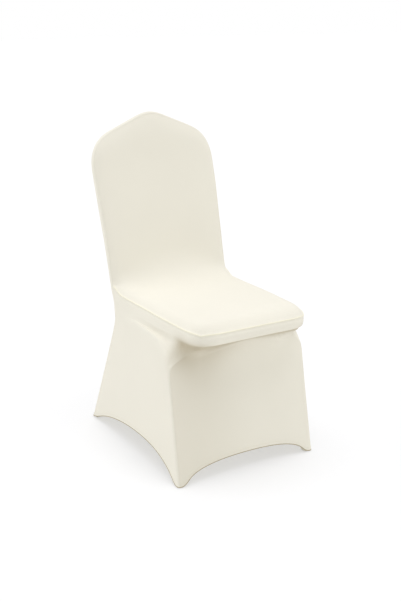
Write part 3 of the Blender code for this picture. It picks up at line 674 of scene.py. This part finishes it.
class Skin:
    """Finely divided skin as arrays: points, normals, shade, quads, their panels and their cloth map."""

    def __init__(self, levels):
        cage, self.crease = skin_cage()
        modifier = cage.modifiers.new("Subdivision", "SUBSURF")
        modifier.levels = levels
        modifier.render_levels = levels
        bpy.context.scene.collection.objects.link(cage)
        evaluated = cage.evaluated_get(bpy.context.evaluated_depsgraph_get())
        mesh = bpy.data.meshes.new_from_object(evaluated)
        count, faces = len(mesh.vertices), len(mesh.polygons)
        self.points = read_array(mesh.vertices, "co", (count, 3))
        self.normals = read_array(mesh.vertex_normals, "vector", (count, 3))
        self.quads = read_array(mesh.loops, "vertex_index", (faces, 4)).astype(int)
        self.panel = read_array(mesh.polygons, "material_index", (faces,)).astype(int)
        self.map = read_array(mesh.uv_layers["cloth"].data, "uv", (faces, 4, 2))
        bpy.data.meshes.remove(mesh)
        bpy.data.objects.remove(cage)
        self.press_relief()

    def press_relief(self):
        """Keep the share of painted shade, then press the lip, crease, hem bands and gathers into it."""
        x, y, z = self.points.T
        front = np.zeros(len(x), bool)
        front[self.quads[self.panel == FRONT].ravel()] = True
        crease = distances(self.points, self.crease)
        below = smooth((self.crease[:, 2].mean() - z) / UNDER_FADE)
        self.shade = np.where(front, 0.0, self.tone(x, y, crease, below))
        seam = distances(self.points, self.points[np.unique(self.line(FRONT, SKIRT))])
        hem = distances(self.points, self.points[np.unique(self.lines(HEMS))])
        height = np.where(front, LIP["rise"] * bump(seam, 0.0, LIP["width"]),
                          -LIP_GROOVE["depth"] * bump(seam, LIP_GROOVE["centre"], LIP_GROOVE["width"]))
        ahead = smooth((CREASE["rear_y"] - y) / CREASE["fade"])
        height -= CREASE["depth"] * bump(crease, 0.0, CREASE["width"]) * ahead
        height += HEM_BAND["rise"] * smooth((HEM_BAND["width"] - hem) / HEM_BAND["step"])
        aside, back = np.abs(x) - GATHERS["x"], y - SEAT_FRONT_Y
        folds = np.sin(2.0 * math.pi * np.hypot(aside, back) / GATHERS["pitch"])
        folds *= np.exp(-crease / GATHERS["reach"] - (aside / GATHERS["spread"]) ** 2)
        height += GATHERS["depth"] * folds * ahead * below * smooth(np.abs(back) / GATHERS["fade"])
        wave = sum(np.sin(a * x + b * y + c * z) for a, b, c in UNEVEN_WAVES) / len(UNEVEN_WAVES)
        height += UNEVEN["depth"] * wave * smooth(np.minimum(seam, hem) / UNEVEN["fade"])
        self.points = self.points + self.normals * height[:, None]

    def tone(self, x, y, crease, below):
        """Share of painted shade: round the crease under the cushion, and on front-facing cloth on the
        front's left.
        """
        near = np.exp(-((x - SHADE_REACH["x"]) / SHADE_REACH["spread"]) ** 2)
        reach = SHADE_REACH["below"] + (SHADE_REACH["corner"] - SHADE_REACH["below"]) * near
        reach = SHADE_REACH["above"] + (reach - SHADE_REACH["above"]) * below
        hollow = smooth((SHADE_ROUND_CREASE["y"] - y) / SHADE_ROUND_CREASE["fade"])
        hollow *= np.exp(-(crease / reach) ** SHADE_POWER)
        facing = smooth((-self.normals[:, 1] - SHADE_ON_FRONT["from"]) / SHADE_ON_FRONT["over"])
        beside = smooth((SHADE_ON_FRONT["x"] - x) / SHADE_ON_FRONT["spread"]) * below
        return np.minimum(1.0, hollow + SHADE_ON_FRONT["share"] * facing * beside)

    def edges(self):
        """Every edge once, with the panels on its two sides."""
        ends = np.stack([self.quads, np.roll(self.quads, -1, axis=1)], axis=2).reshape(-1, 2)
        ends.sort(axis=1)
        owner = np.repeat(self.panel, 4)
        order = np.lexsort((ends[:, 1], ends[:, 0]))
        ends, owner = ends[order], owner[order]
        fresh = np.concatenate([[True], (np.diff(ends, axis=0) != 0).any(axis=1)])
        first = np.flatnonzero(fresh)
        following = owner[np.minimum(first + 1, len(owner) - 1)]
        second = np.where(np.append(fresh[1:], True)[first], NO_PANEL, following)
        return ends[first], owner[first], second

    def line(self, one, other):
        """Edges where two panels meet, or where one ends."""
        ends, first, second = self.edges()
        low, high = min(one, other), max(one, other)
        return ends[(np.minimum(first, second) == low) & (np.maximum(first, second) == high)]

    def lines(self, pairs):
        """Edges of several pairs of panels together."""
        return np.concatenate([self.line(*pair) for pair in pairs])


def distances(points, line):
    """Distance of each point from the nearest point of a dense line."""
    tree = KDTree(len(line))
    for index, point in enumerate(line):
        tree.insert(point, index)
    tree.balance()
    return np.array([tree.find(point)[2] for point in points])


def bump(distance, centre, width):
    """Smooth hump, 1 at a distance from a line and 0 beyond its width."""
    return np.maximum(0.0, 1.0 - ((distance - centre) / width) ** 2) ** 2


def read_array(items, name, shape):
    """Values of a property of many items, as an array."""
    values = np.zeros(int(np.prod(shape)), np.float64 if name != "vertex_index" else np.int64)
    items.foreach_get(name, values)
    return values.reshape(shape)


SKINS = {}


def skin(levels):
    """Skin at a number of halvings, with the cloth's relief, made once."""
    if levels not in SKINS:
        SKINS[levels] = Skin(levels)
    return SKINS[levels]


# Meshes and materials
def add_object(name, mesh):
    """Object at the origin in the scene."""
    obj = bpy.data.objects.new(name, mesh)
    bpy.context.scene.collection.objects.link(obj)
    return obj


def panel_object(name, levels, panel, thickness):
    """One panel of the skin as a sheet with its thickness on the inside."""
    source = skin(levels)
    chosen = source.panel == panel
    quads = source.quads[chosen]
    used, index = np.unique(quads, return_inverse=True)
    mesh = bpy.data.meshes.new(name)
    mesh.from_pydata(source.points[used].tolist(), [], index.reshape(-1, 4).tolist())
    mesh.uv_layers.new(name="cloth")
    mesh.uv_layers["cloth"].data.foreach_set("uv", source.map[chosen].ravel())
    # Share of painted shade at each point, read by the cloth material
    shade = mesh.attributes.new("shade", "FLOAT", "POINT")
    shade.data.foreach_set("value", source.shade[used].astype(np.float32))
    mesh.shade_smooth()
    obj = add_object(name, mesh)
    add_wall(obj, thickness)
    return obj


def finish_piece(obj, material, slot, *nodes):
    """Give a piece its material, its body and the CAD nodes that it stands for."""
    obj.data.materials.clear()
    obj.data.materials.append(material)
    if nodes:
        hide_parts(*nodes)
    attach(obj, BODY)
    return obj


def link(tree, source, output, target, socket):
    """Join an output of one node to an input of another."""
    tree.links.new(source.outputs[output], target.inputs[socket])


def add_node(tree, kind, inputs=None, **settings):
    """Node with its settings and the values on its inputs."""
    node = tree.nodes.new(kind)
    for name, value in settings.items():
        setattr(node, name, value)
    for name, value in (inputs or {}).items():
        node.inputs[name].default_value = value
    return node


def line_mesh(name, points, edges):
    """Mesh of edges alone, for a node tree to follow."""
    used, index = np.unique(edges, return_inverse=True)
    mesh = bpy.data.meshes.new(name)
    mesh.from_pydata(points[used].tolist(), index.reshape(-1, 2).tolist(), [])
    return mesh


def new_tree(name, sizes):
    """Empty geometry node tree with named sizes and a material as its inputs."""
    tree = bpy.data.node_groups.new(name, "GeometryNodeTree")
    tree.interface.new_socket("Geometry", in_out="INPUT", socket_type="NodeSocketGeometry")
    for size in sizes:
        tree.interface.new_socket(size, in_out="INPUT", socket_type="NodeSocketFloat")
    tree.interface.new_socket("Material", in_out="INPUT", socket_type="NodeSocketMaterial")
    tree.interface.new_socket("Geometry", in_out="OUTPUT", socket_type="NodeSocketGeometry")
    return tree, tree.nodes.new("NodeGroupInput")


def end_tree(tree, enter, last, output):
    """Finish a tree: smooth faces, real geometry, its material."""
    shade = tree.nodes.new("GeometryNodeSetShadeSmooth")
    real = tree.nodes.new("GeometryNodeRealizeInstances")
    finish = tree.nodes.new("GeometryNodeSetMaterial")
    leave = tree.nodes.new("NodeGroupOutput")
    link(tree, last, output, shade, "Geometry")
    link(tree, shade, "Geometry", real, "Geometry")
    link(tree, real, "Geometry", finish, "Geometry")
    link(tree, enter, "Material", finish, "Material")
    link(tree, finish, "Geometry", leave, "Geometry")
    return tree


def cord_tree():
    """Node tree: a round rolled edge along the lines of a mesh."""
    tree, enter = new_tree("rolled_edge", ("Radius", "Spacing"))
    curve = add_node(tree, "GeometryNodeMeshToCurve")
    resample = add_node(tree, "GeometryNodeResampleCurve", mode="LENGTH")
    ring = add_node(tree, "GeometryNodeCurvePrimitiveCircle", {"Resolution": CORD_SIDES})
    sweep = add_node(tree, "GeometryNodeCurveToMesh", {"Fill Caps": True})
    link(tree, enter, "Geometry", curve, "Mesh")
    link(tree, curve, "Curve", resample, "Curve")
    link(tree, enter, "Spacing", resample, "Length")
    link(tree, enter, "Radius", ring, "Radius")
    link(tree, resample, "Curve", sweep, "Curve")
    link(tree, ring, "Curve", sweep, "Profile Curve")
    return end_tree(tree, enter, sweep, "Mesh")


def stitch_tree():
    """Node tree: short stitches of thread, one after another along the lines of a mesh."""
    tree, enter = new_tree("running_stitches", STITCH)
    curve = add_node(tree, "GeometryNodeMeshToCurve")
    places = add_node(tree, "GeometryNodeCurveToPoints", mode="LENGTH")
    thread = add_node(tree, "GeometryNodeMeshIcoSphere", {"Radius": 0.5, "Subdivisions": 1})
    size = add_node(tree, "ShaderNodeCombineXYZ")
    rows = add_node(tree, "GeometryNodeInstanceOnPoints")
    link(tree, enter, "Geometry", curve, "Mesh")
    link(tree, curve, "Curve", places, "Curve")
    link(tree, enter, "Pitch", places, "Length")
    for source, target in (("Width", "X"), ("Width", "Y"), ("Length", "Z")):
        link(tree, enter, source, size, target)
    link(tree, places, "Points", rows, "Points")
    link(tree, thread, "Mesh", rows, "Instance")
    link(tree, places, "Rotation", rows, "Rotation")
    link(tree, size, "Vector", rows, "Scale")
    return end_tree(tree, enter, rows, "Instances")


def grow(name, tree, path, sizes, material):
    """Run a node tree on a mesh of lines and keep its result as a plain mesh."""
    guide = add_object(name + "_guide", path)
    modifier = guide.modifiers.new("Nodes", "NODES")
    modifier.node_group = tree
    values = dict(sizes, Material=material)
    for item in tree.interface.items_tree:
        if item.in_out == "INPUT" and item.name in values:
            modifier[item.identifier] = values[item.name]
    evaluated = guide.evaluated_get(bpy.context.evaluated_depsgraph_get())
    mesh = bpy.data.meshes.new_from_object(evaluated)
    mesh.name = name
    bpy.data.objects.remove(guide, do_unlink=True)
    return add_object(name, mesh)


def rolled_edge(name, levels, pairs, cord, material):
    """Rolled edge or sewn lip along the lines where panels meet or end."""
    source = skin(levels)
    points = source.points - source.normals * cord["sink"]
    points[:, 2] = np.maximum(points[:, 2], cord["radius"])
    path = line_mesh(name, points, source.lines(pairs))
    return grow(name, cord_tree(), path, {"Radius": cord["radius"], "Spacing": CORD_SPACING}, material)


def hem_stitches(name, levels, material):
    """Row of stitches a little above each hem."""
    source = skin(levels)
    edges = source.lines(HEMS)
    surface = BVHTree.FromPolygons(source.points.tolist(), source.quads.tolist())
    points = source.points.copy()
    for index in np.unique(edges):
        start = Vector(source.points[index]) + Vector((0.0, 0.0, STITCH_ABOVE_HEM))
        near, normal = surface.find_nearest(start)[:2]
        points[index] = near + normal * STITCH_PROUD
    return grow(name, stitch_tree(), line_mesh(name, points, edges), STITCH, material)


def pocket_ring(leg, side, place, z, inset):
    """Rounded square of points round one foot at a height."""
    half = (FOOT_WIDTH - POCKET_EASE) / 2.0
    x = side * (leg["x"] - POCKET_EASE - half + leg["x_per_z"] * z)
    y = leg["y"] + (1.0 if place == "front" else -1.0) * (POCKET_EASE + half) + leg["y_per_z"] * z
    ring = []
    for k in range(POCKET_CORNERS):
        angle = 2.0 * math.pi * k / POCKET_CORNERS
        c, s = math.cos(angle), math.sin(angle)
        spread = (abs(c) ** POCKET_SQUARENESS + abs(s) ** POCKET_SQUARENESS) ** (1.0 / POCKET_SQUARENESS)
        ring.append((x + (half - inset) / spread * c, y + (half - inset) / spread * s, z))
    return ring


def pocket_mesh(name, leg, side, place, thickness):
    """Rounded cup of cloth round one foot, its sole and lowest wall faces in the second material, of painted
    shade.
    """
    half = (FOOT_WIDTH - POCKET_EASE) / 2.0
    levels = [(0.0, half * (1.0 - share)) for share in POCKET_SOLE_SHARES] + list(POCKET_RINGS)
    cup = bmesh.new()
    cloth_map = cup.loops.layers.uv.new("cloth")
    rings = [[cup.verts.new(point) for point in pocket_ring(leg, side, place, z + thickness, inset)]
             for z, inset in levels]
    faces = [cup.faces.new(rings[0][::-1])]
    for low, high in zip(rings[:-1], rings[1:]):
        for k in range(POCKET_CORNERS):
            n = (k + 1) % POCKET_CORNERS
            faces.append(cup.faces.new((low[k], low[n], high[n], high[k])))
    sole_faces = (len(POCKET_SOLE_SHARES) + POCKET_SOLE_WALLS) * POCKET_CORNERS
    for index, face in enumerate(faces):
        face.smooth = True
        face.material_index = 1 if index <= sole_faces else 0
        for loop in face.loops:
            loop[cloth_map].uv = (loop.vert.co.x + loop.vert.co.y, loop.vert.co.z)
    mesh = bpy.data.meshes.new(name)
    cup.to_mesh(mesh)
    cup.free()
    return mesh


def add_wall(obj, thickness):
    """Give a sheet its thickness, on the inside."""
    wall = obj.modifiers.new("Solidify", "SOLIDIFY")
    wall.thickness = thickness
    wall.offset = -1.0


def math_node(tree, operation, *values):
    """Math node whose inputs are numbers or (node, output) pairs."""
    node = tree.nodes.new("ShaderNodeMath")
    node.operation = operation
    for slot_index, value in enumerate(values):
        if isinstance(value, tuple):
            tree.links.new(value[0].outputs[value[1]], node.inputs[slot_index])
        else:
            node.inputs[slot_index].default_value = value
    return node


def new_group(name, inputs, outputs):
    """Empty shader group with its inputs, as kinds and defaults, and its outputs of one number each."""
    group = bpy.data.node_groups.new(name, "ShaderNodeTree")
    for title, (kind, value) in inputs.items():
        socket = group.interface.new_socket(title, in_out="INPUT", socket_type=kind)
        if value is not None:
            socket.default_value = value
    for title in outputs:
        group.interface.new_socket(title, in_out="OUTPUT", socket_type="NodeSocketFloat")
    return group, group.nodes.new("NodeGroupInput"), group.nodes.new("NodeGroupOutput")


def knit_group():
    """Shader group: the loops of a fine warp knit, as a height and a tone, from a map in metres."""
    group = bpy.data.node_groups.get("fine_knit")
    if group:
        return group
    inputs = {"Map": ("NodeSocketVector", None), "Wale Width": ("NodeSocketFloat", WALE_WIDTH)}
    group, enter, leave = new_group("fine_knit", inputs, ("Height", "Tone"))
    split = add_node(group, "ShaderNodeSeparateXYZ")
    link(group, enter, "Map", split, "Vector")
    wales = math_node(group, "DIVIDE", (split, "X"), (enter, "Wale Width"))
    courses = math_node(group, "DIVIDE", (split, "Y"), (enter, "Wale Width"))
    across = math_node(group, "SINE", (math_node(group, "MULTIPLY", (wales, 0), math.pi), 0))
    rib = math_node(group, "ABSOLUTE", (across, 0))
    slanted = math_node(group, "MULTIPLY_ADD", (courses, 0), KNIT["slant"], (rib, 0))
    loops = math_node(group, "SINE", (math_node(group, "MULTIPLY", (slanted, 0), 2.0 * math.pi), 0))
    bumps = math_node(group, "MULTIPLY_ADD", (loops, 0), KNIT["loop"], 1.0 - KNIT["loop"])
    height = math_node(group, "MULTIPLY", (rib, 0), (bumps, 0))
    tone = math_node(group, "MULTIPLY_ADD", (height, 0), KNIT["tone"], 1.0 - KNIT["tone"])
    link(group, height, 0, leave, "Height")
    link(group, tone, 0, leave, "Tone")
    return group


def mottle_group():
    """Shader group: slow, faint changes of tone, as from uneven stretch and handling."""
    group = bpy.data.node_groups.get("stretch_mottle")
    if group:
        return group
    inputs = {"Place": ("NodeSocketVector", None), "Depth": ("NodeSocketFloat", MOTTLE_DEPTH)}
    group, enter, leave = new_group("stretch_mottle", inputs, ("Tone",))
    noise = add_node(group, "ShaderNodeTexNoise", MOTTLE)
    link(group, enter, "Place", noise, "Vector")
    centred = math_node(group, "SUBTRACT", (noise, "Fac"), 0.5)
    tone = math_node(group, "MULTIPLY_ADD", (centred, 0), (enter, "Depth"), 1.0)
    link(group, tone, 0, leave, "Tone")
    return group


def tinted(colour, tint):
    """A colour times a tint, opaque."""
    return tuple(c * f for c, f in zip(colour, tint)) + (1.0,)


def mix_node(tree, share, first, second):
    """Mix of two colours, each a colour or a (node, output) pair, by a (node, output) pair."""
    node = add_node(tree, "ShaderNodeMix", data_type="RGBA")
    link(tree, *share, node, 0)
    for socket, value in ((6, first), (7, second)):
        if len(value) == 2:
            link(tree, *value, node, socket)
        else:
            node.inputs[socket].default_value = value
    return node


def cloth_material(name, colour, roughness, wale, shade):
    """Stretch knit: a fine ribbed bump, slightly darker between the ribs, with a soft sheen and painted
    shade.
    """
    material = bpy.data.materials.get(name)
    if material:
        return material
    material = bpy.data.materials.new(name)
    material.use_nodes = True
    tree = material.node_tree
    shader = tree.nodes["Principled BSDF"]
    for socket, value in dict(CLOTH_FINISH, Roughness=roughness).items():
        shader.inputs[socket].default_value = value
    cloth_map = add_node(tree, "ShaderNodeUVMap", uv_map="cloth")
    place = add_node(tree, "ShaderNodeTexCoord")
    knit = add_node(tree, "ShaderNodeGroup", node_tree=knit_group())
    knit.inputs["Wale Width"].default_value = wale
    link(tree, cloth_map, "UV", knit, "Map")
    mottle = add_node(tree, "ShaderNodeGroup", node_tree=mottle_group())
    link(tree, place, "Object", mottle, "Place")
    ribbed = mix_node(tree, (knit, "Tone"), tinted(colour, (shade,) * 3), tinted(colour, (1.0,) * 3))
    # Painted shade: the shade attribute mixes the cloth towards a darker tint under the cushion and on the
    # front's left
    shaded = add_node(tree, "ShaderNodeAttribute", attribute_name="shade")
    hollow = mix_node(tree, (shaded, "Fac"), (ribbed, 2), tinted(colour, PAINTED_SHADE_TINT))
    toned = add_node(tree, "ShaderNodeVectorMath", operation="SCALE")
    link(tree, hollow, 2, toned, 0)
    link(tree, mottle, "Tone", toned, "Scale")
    link(tree, toned, 0, shader, "Base Color")
    bumped = add_node(tree, "ShaderNodeBump", KNIT_BUMP)
    link(tree, knit, "Height", bumped, "Height")
    link(tree, bumped, "Normal", shader, "Normal")
    return material


def cover_cloth():
    """Material of the panels, the pockets and the finer lips."""
    return edge_cloth("ivory_stretch_knit", (1.0, 1.0, 1.0))


def edge_cloth(name, tint):
    """Material of a rolled edge or a thread: the cover's cloth, tinted."""
    cloth = bpy.context.scene.cover_cloth
    colour = [c * f for c, f in zip(cloth.colour, tint)]
    return cloth_material(name, colour, cloth.roughness, cloth.wale_width, cloth.loop_shade)


# Settings
class CoverClothSettings(bpy.types.PropertyGroup):
    """Cloth of the cover."""

    colour: FloatVectorProperty(name="Colour", description="Colour of the cloth", subtype="COLOR",
                                size=3, min=0.0, max=1.0, default=(0.875, 0.842, 0.730))
    roughness: FloatProperty(name="Roughness", description="Roughness of the cloth", subtype="FACTOR",
                             min=0.0, max=1.0, default=0.85)
    thickness: FloatProperty(name="Thickness", description="Thickness of the cloth", unit="LENGTH",
                             min=0.0003, max=0.003, precision=4, default=0.0012)
    wale_width: FloatProperty(name="Wale Width", description="Width of one column of knitted loops",
                              unit="LENGTH", min=0.0003, max=0.003, precision=5, default=WALE_WIDTH)
    loop_shade: FloatProperty(name="Loop Shade", description="Tone of the cloth between its ribs",
                              subtype="FACTOR", min=0.5, max=1.0, default=0.94)


class CoverStageSettings(bpy.types.PropertyGroup):
    """Camera, lights and floor."""

    azimuth: FloatProperty(name="Azimuth", description="Angle of the camera round the chair",
                           unit="ROTATION", default=math.radians(-31.313))
    elevation: FloatProperty(name="Elevation", description="Angle of the camera above the horizon",
                             unit="ROTATION", default=math.radians(17.227))
    distance: FloatProperty(name="Distance", description="Distance from the camera to its target",
                            unit="LENGTH", default=2.851)
    lens: FloatProperty(name="Lens", description="Focal length of the camera", unit="CAMERA", default=57.8)
    sky: FloatProperty(
        name="Sky", description="Strength of the even white light from all round", default=0.54)
    top: FloatProperty(name="Top Light", description="Strength of the broad soft light above", default=1.50)
    right: FloatProperty(name="Right Light", description="Strength of the low light in front, on the right",
                         default=0.50)
    left: FloatProperty(name="Left Light", description="Strength of the low light behind, on the left",
                        default=0.71)
    spread: FloatProperty(name="Light Spread", description="Angle that each soft light fills",
                          unit="ROTATION", default=math.radians(60.0))


# Operators, one for each piece or group of like pieces
class COVER_OT_inside_back_and_seat(bpy.types.Operator):
    """Make the cloth of the inside back and the seat"""

    bl_idname = "chair_cover.inside_back_and_seat"
    bl_label = "Inside Back and Seat"

    def execute(self, context):
        obj = panel_object("inside_back_and_seat", FINE_LEVELS, FRONT, context.scene.cover_cloth.thickness)
        finish_piece(obj, cover_cloth(), "cloth", "front_seat_panel")
        return {"FINISHED"}


class COVER_OT_outside_back(bpy.types.Operator):
    """Make the cloth of the outside back, from the crown down to the rear hem"""

    bl_idname = "chair_cover.outside_back"
    bl_label = "Outside Back"

    def execute(self, context):
        obj = panel_object("outside_back", BACK_LEVELS, BACK, context.scene.cover_cloth.thickness)
        finish_piece(obj, cover_cloth(), "cloth", "back_panel")
        return {"FINISHED"}


class COVER_OT_skirt(bpy.types.Operator):
    """Make the cloth of the skirt, round the cushion and the legs"""

    bl_idname = "chair_cover.skirt"
    bl_label = "Skirt"

    def execute(self, context):
        obj = panel_object("skirt_cloth", FINE_LEVELS, SKIRT, context.scene.cover_cloth.thickness)
        finish_piece(obj, cover_cloth(), "cloth", "skirt")
        return {"FINISHED"}


class COVER_OT_sewn_lips(bpy.types.Operator):
    """Make the sewn lips along the seams of the seat, the back and the rear corners; the seat's lip has a
    painted highlight
    """

    bl_idname = "chair_cover.sewn_lips"
    bl_label = "Sewn Lips"

    def execute(self, context):
        # The seat lip's cloth is tinted lighter: a painted highlight along the seat's edge
        lip = edge_cloth("seat_lip_cloth", LIP_HIGHLIGHT_TINT)
        seat = rolled_edge("seat_lip", FINE_LEVELS, ((FRONT, SKIRT),), SEAM_CORD, lip)
        back = rolled_edge("back_lip", BACK_LEVELS, ((FRONT, BACK),), BACK_CORD, cover_cloth())
        rear = rolled_edge("rear_corner_lip", BACK_LEVELS, ((SKIRT, BACK),), BACK_CORD, cover_cloth())
        finish_piece(seat, lip, "cloth")
        finish_piece(back, cover_cloth(), "cloth")
        finish_piece(rear, cover_cloth(), "cloth")
        return {"FINISHED"}


class COVER_OT_hems(bpy.types.Operator):
    """Make the rolled edges of the hems, darkened with painted shade, and their stitches"""

    bl_idname = "chair_cover.hems"
    bl_label = "Hems"

    def execute(self, context):
        # The rolled hem edges are tinted darker: painted shade on the hem's underside
        edge = edge_cloth("hem_edge_cloth", HEM_EDGE_SHADE_TINT)
        thread = edge_cloth("hem_thread", THREAD_TINT)
        rolled = rolled_edge("hem_edge", FINE_LEVELS, HEMS, HEM_CORD, edge)
        stitches = hem_stitches("hem_stitches", FINE_LEVELS, thread)
        finish_piece(rolled, edge, "cloth")
        finish_piece(stitches, thread, "cloth")
        return {"FINISHED"}


class COVER_OT_foot_pockets(bpy.types.Operator):
    """Make the four foot pockets, their soles and lowest walls darkened with painted shade"""

    bl_idname = "chair_cover.foot_pockets"
    bl_label = "Foot Pockets"

    def execute(self, context):
        # The soles and lowest walls are tinted dark grey: painted shade under each foot
        sole = edge_cloth("foot_sole_cloth", SOLE_SHADE_TINT)
        thickness = context.scene.cover_cloth.thickness
        for place, leg in (("front", FRONT_LEG), ("rear", REAR_LEG)):
            for hand, side in (("left", -1.0), ("right", 1.0)):
                name = place + "_" + hand + "_pocket_cloth"
                obj = add_object(name, pocket_mesh(name, leg, side, place, thickness))
                add_wall(obj, thickness)
                obj.data.materials.append(cover_cloth())
                obj.data.materials.append(sole)
                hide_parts("foot_pocket_" + place + "_" + hand)
                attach(obj, BODY)
        return {"FINISHED"}


class COVER_OT_stage(bpy.types.Operator):
    """Set up the camera, the soft lights and the pale floor"""

    bl_idname = "chair_cover.stage"
    bl_label = "Stage"

    def execute(self, context):
        stage = context.scene.cover_stage
        add_camera(stage)
        add_floor()
        add_lights(stage)
        return {"FINISHED"}


def aim(obj, place, target):
    """Stand a camera or a light at a place and point it at a target."""
    obj.location = place
    obj.rotation_euler = (target - place).to_track_quat("-Z", "Y").to_euler()


def round_the_chair(azimuth, elevation):
    """Direction from the chair at an angle from its front and an angle above the floor."""
    return Vector((math.sin(azimuth) * math.cos(elevation), -math.cos(azimuth) * math.cos(elevation),
                   math.sin(elevation)))


def add_camera(stage):
    """Camera at the photograph's viewing angle."""
    data = bpy.data.cameras.new("camera")
    data.sensor_width = CAMERA_SENSOR
    data.lens = stage.lens
    camera = add_object("camera", data)
    direction = round_the_chair(stage.azimuth, stage.elevation)
    aim(camera, CAMERA_TARGET + direction * stage.distance, CAMERA_TARGET)
    bpy.context.scene.camera = camera


def add_floor():
    """Plain pale floor, wide enough to fill every view."""
    mesh = bpy.data.meshes.new("floor")
    reach = FLOOR["reach"]
    mesh.from_pydata([(-reach, -reach, 0), (reach, -reach, 0), (reach, reach, 0), (-reach, reach, 0)],
                     [], [(0, 1, 2, 3)])
    floor = add_object("floor", mesh)
    material = bpy.data.materials.new("floor_paint")
    material.use_nodes = True
    shader = material.node_tree.nodes["Principled BSDF"]
    shader.inputs["Base Color"].default_value = (FLOOR["grey"], FLOOR["grey"], FLOOR["grey"], 1.0)
    shader.inputs["Emission Color"].default_value = (1.0, 1.0, 1.0, 1.0)
    shader.inputs["Emission Strength"].default_value = FLOOR["glow"]
    shader.inputs["Roughness"].default_value = FLOOR["roughness"]
    mesh.materials.append(material)


def add_lights(stage):
    """Even white light from all round, and large soft lights above and low on both sides."""
    scene = bpy.context.scene
    world = bpy.data.worlds.new("studio")
    world.use_nodes = True
    tree = world.node_tree
    background = tree.nodes["Background"]
    background.inputs["Color"].default_value = (1.0, 1.0, 1.0, 1.0)
    rays = add_node(tree, "ShaderNodeLightPath")
    seen = math_node(tree, "MULTIPLY_ADD", (rays, "Is Camera Ray"), 1.0 - stage.sky, stage.sky)
    link(tree, seen, 0, background, "Strength")
    scene.world = world
    scene.view_settings.view_transform = "Standard"
    for name, place in LIGHTS.items():
        data = bpy.data.lights.new(name + "_light", "SUN")
        data.energy = getattr(stage, name)
        data.color = place["colour"]
        data.angle = stage.spread
        direction = round_the_chair(math.radians(place["azimuth"]), math.radians(place["elevation"]))
        aim(add_object(name + "_light", data), CAMERA_TARGET + direction, CAMERA_TARGET)


OPERATORS = (
    COVER_OT_inside_back_and_seat,
    COVER_OT_outside_back,
    COVER_OT_skirt,
    COVER_OT_sewn_lips,
    COVER_OT_hems,
    COVER_OT_foot_pockets,
    COVER_OT_stage,
)


class COVER_PT_panel(bpy.types.Panel):
    """Panel in the sidebar with the cover's settings and operators"""

    bl_idname = "COVER_PT_panel"
    bl_label = "Chair Cover"
    bl_space_type = "VIEW_3D"
    bl_region_type = "UI"
    bl_category = "Chair Cover"

    def draw(self, context):
        layout = self.layout
        for settings in (context.scene.cover_cloth, context.scene.cover_stage):
            box = layout.box()
            for name in settings.__annotations__:
                box.prop(settings, name)
        for operator in OPERATORS:
            layout.operator(operator.bl_idname)


CLASSES = (CoverClothSettings, CoverStageSettings) + OPERATORS + (COVER_PT_panel,)


def register():
    """Register the classes and the scene's settings."""
    for item in CLASSES:
        bpy.utils.register_class(item)
    bpy.types.Scene.cover_cloth = PointerProperty(type=CoverClothSettings)
    bpy.types.Scene.cover_stage = PointerProperty(type=CoverStageSettings)


def unregister():
    """Remove what register added."""
    del bpy.types.Scene.cover_stage
    del bpy.types.Scene.cover_cloth
    for item in reversed(CLASSES):
        bpy.utils.unregister_class(item)


def main():
    """Make every piece and the stage."""
    register()
    bpy.ops.chair_cover.inside_back_and_seat()
    bpy.ops.chair_cover.outside_back()
    bpy.ops.chair_cover.skirt()
    bpy.ops.chair_cover.sewn_lips()
    bpy.ops.chair_cover.hems()
    bpy.ops.chair_cover.foot_pockets()
    bpy.ops.chair_cover.stage()


if __name__ == "__main__":
    main()
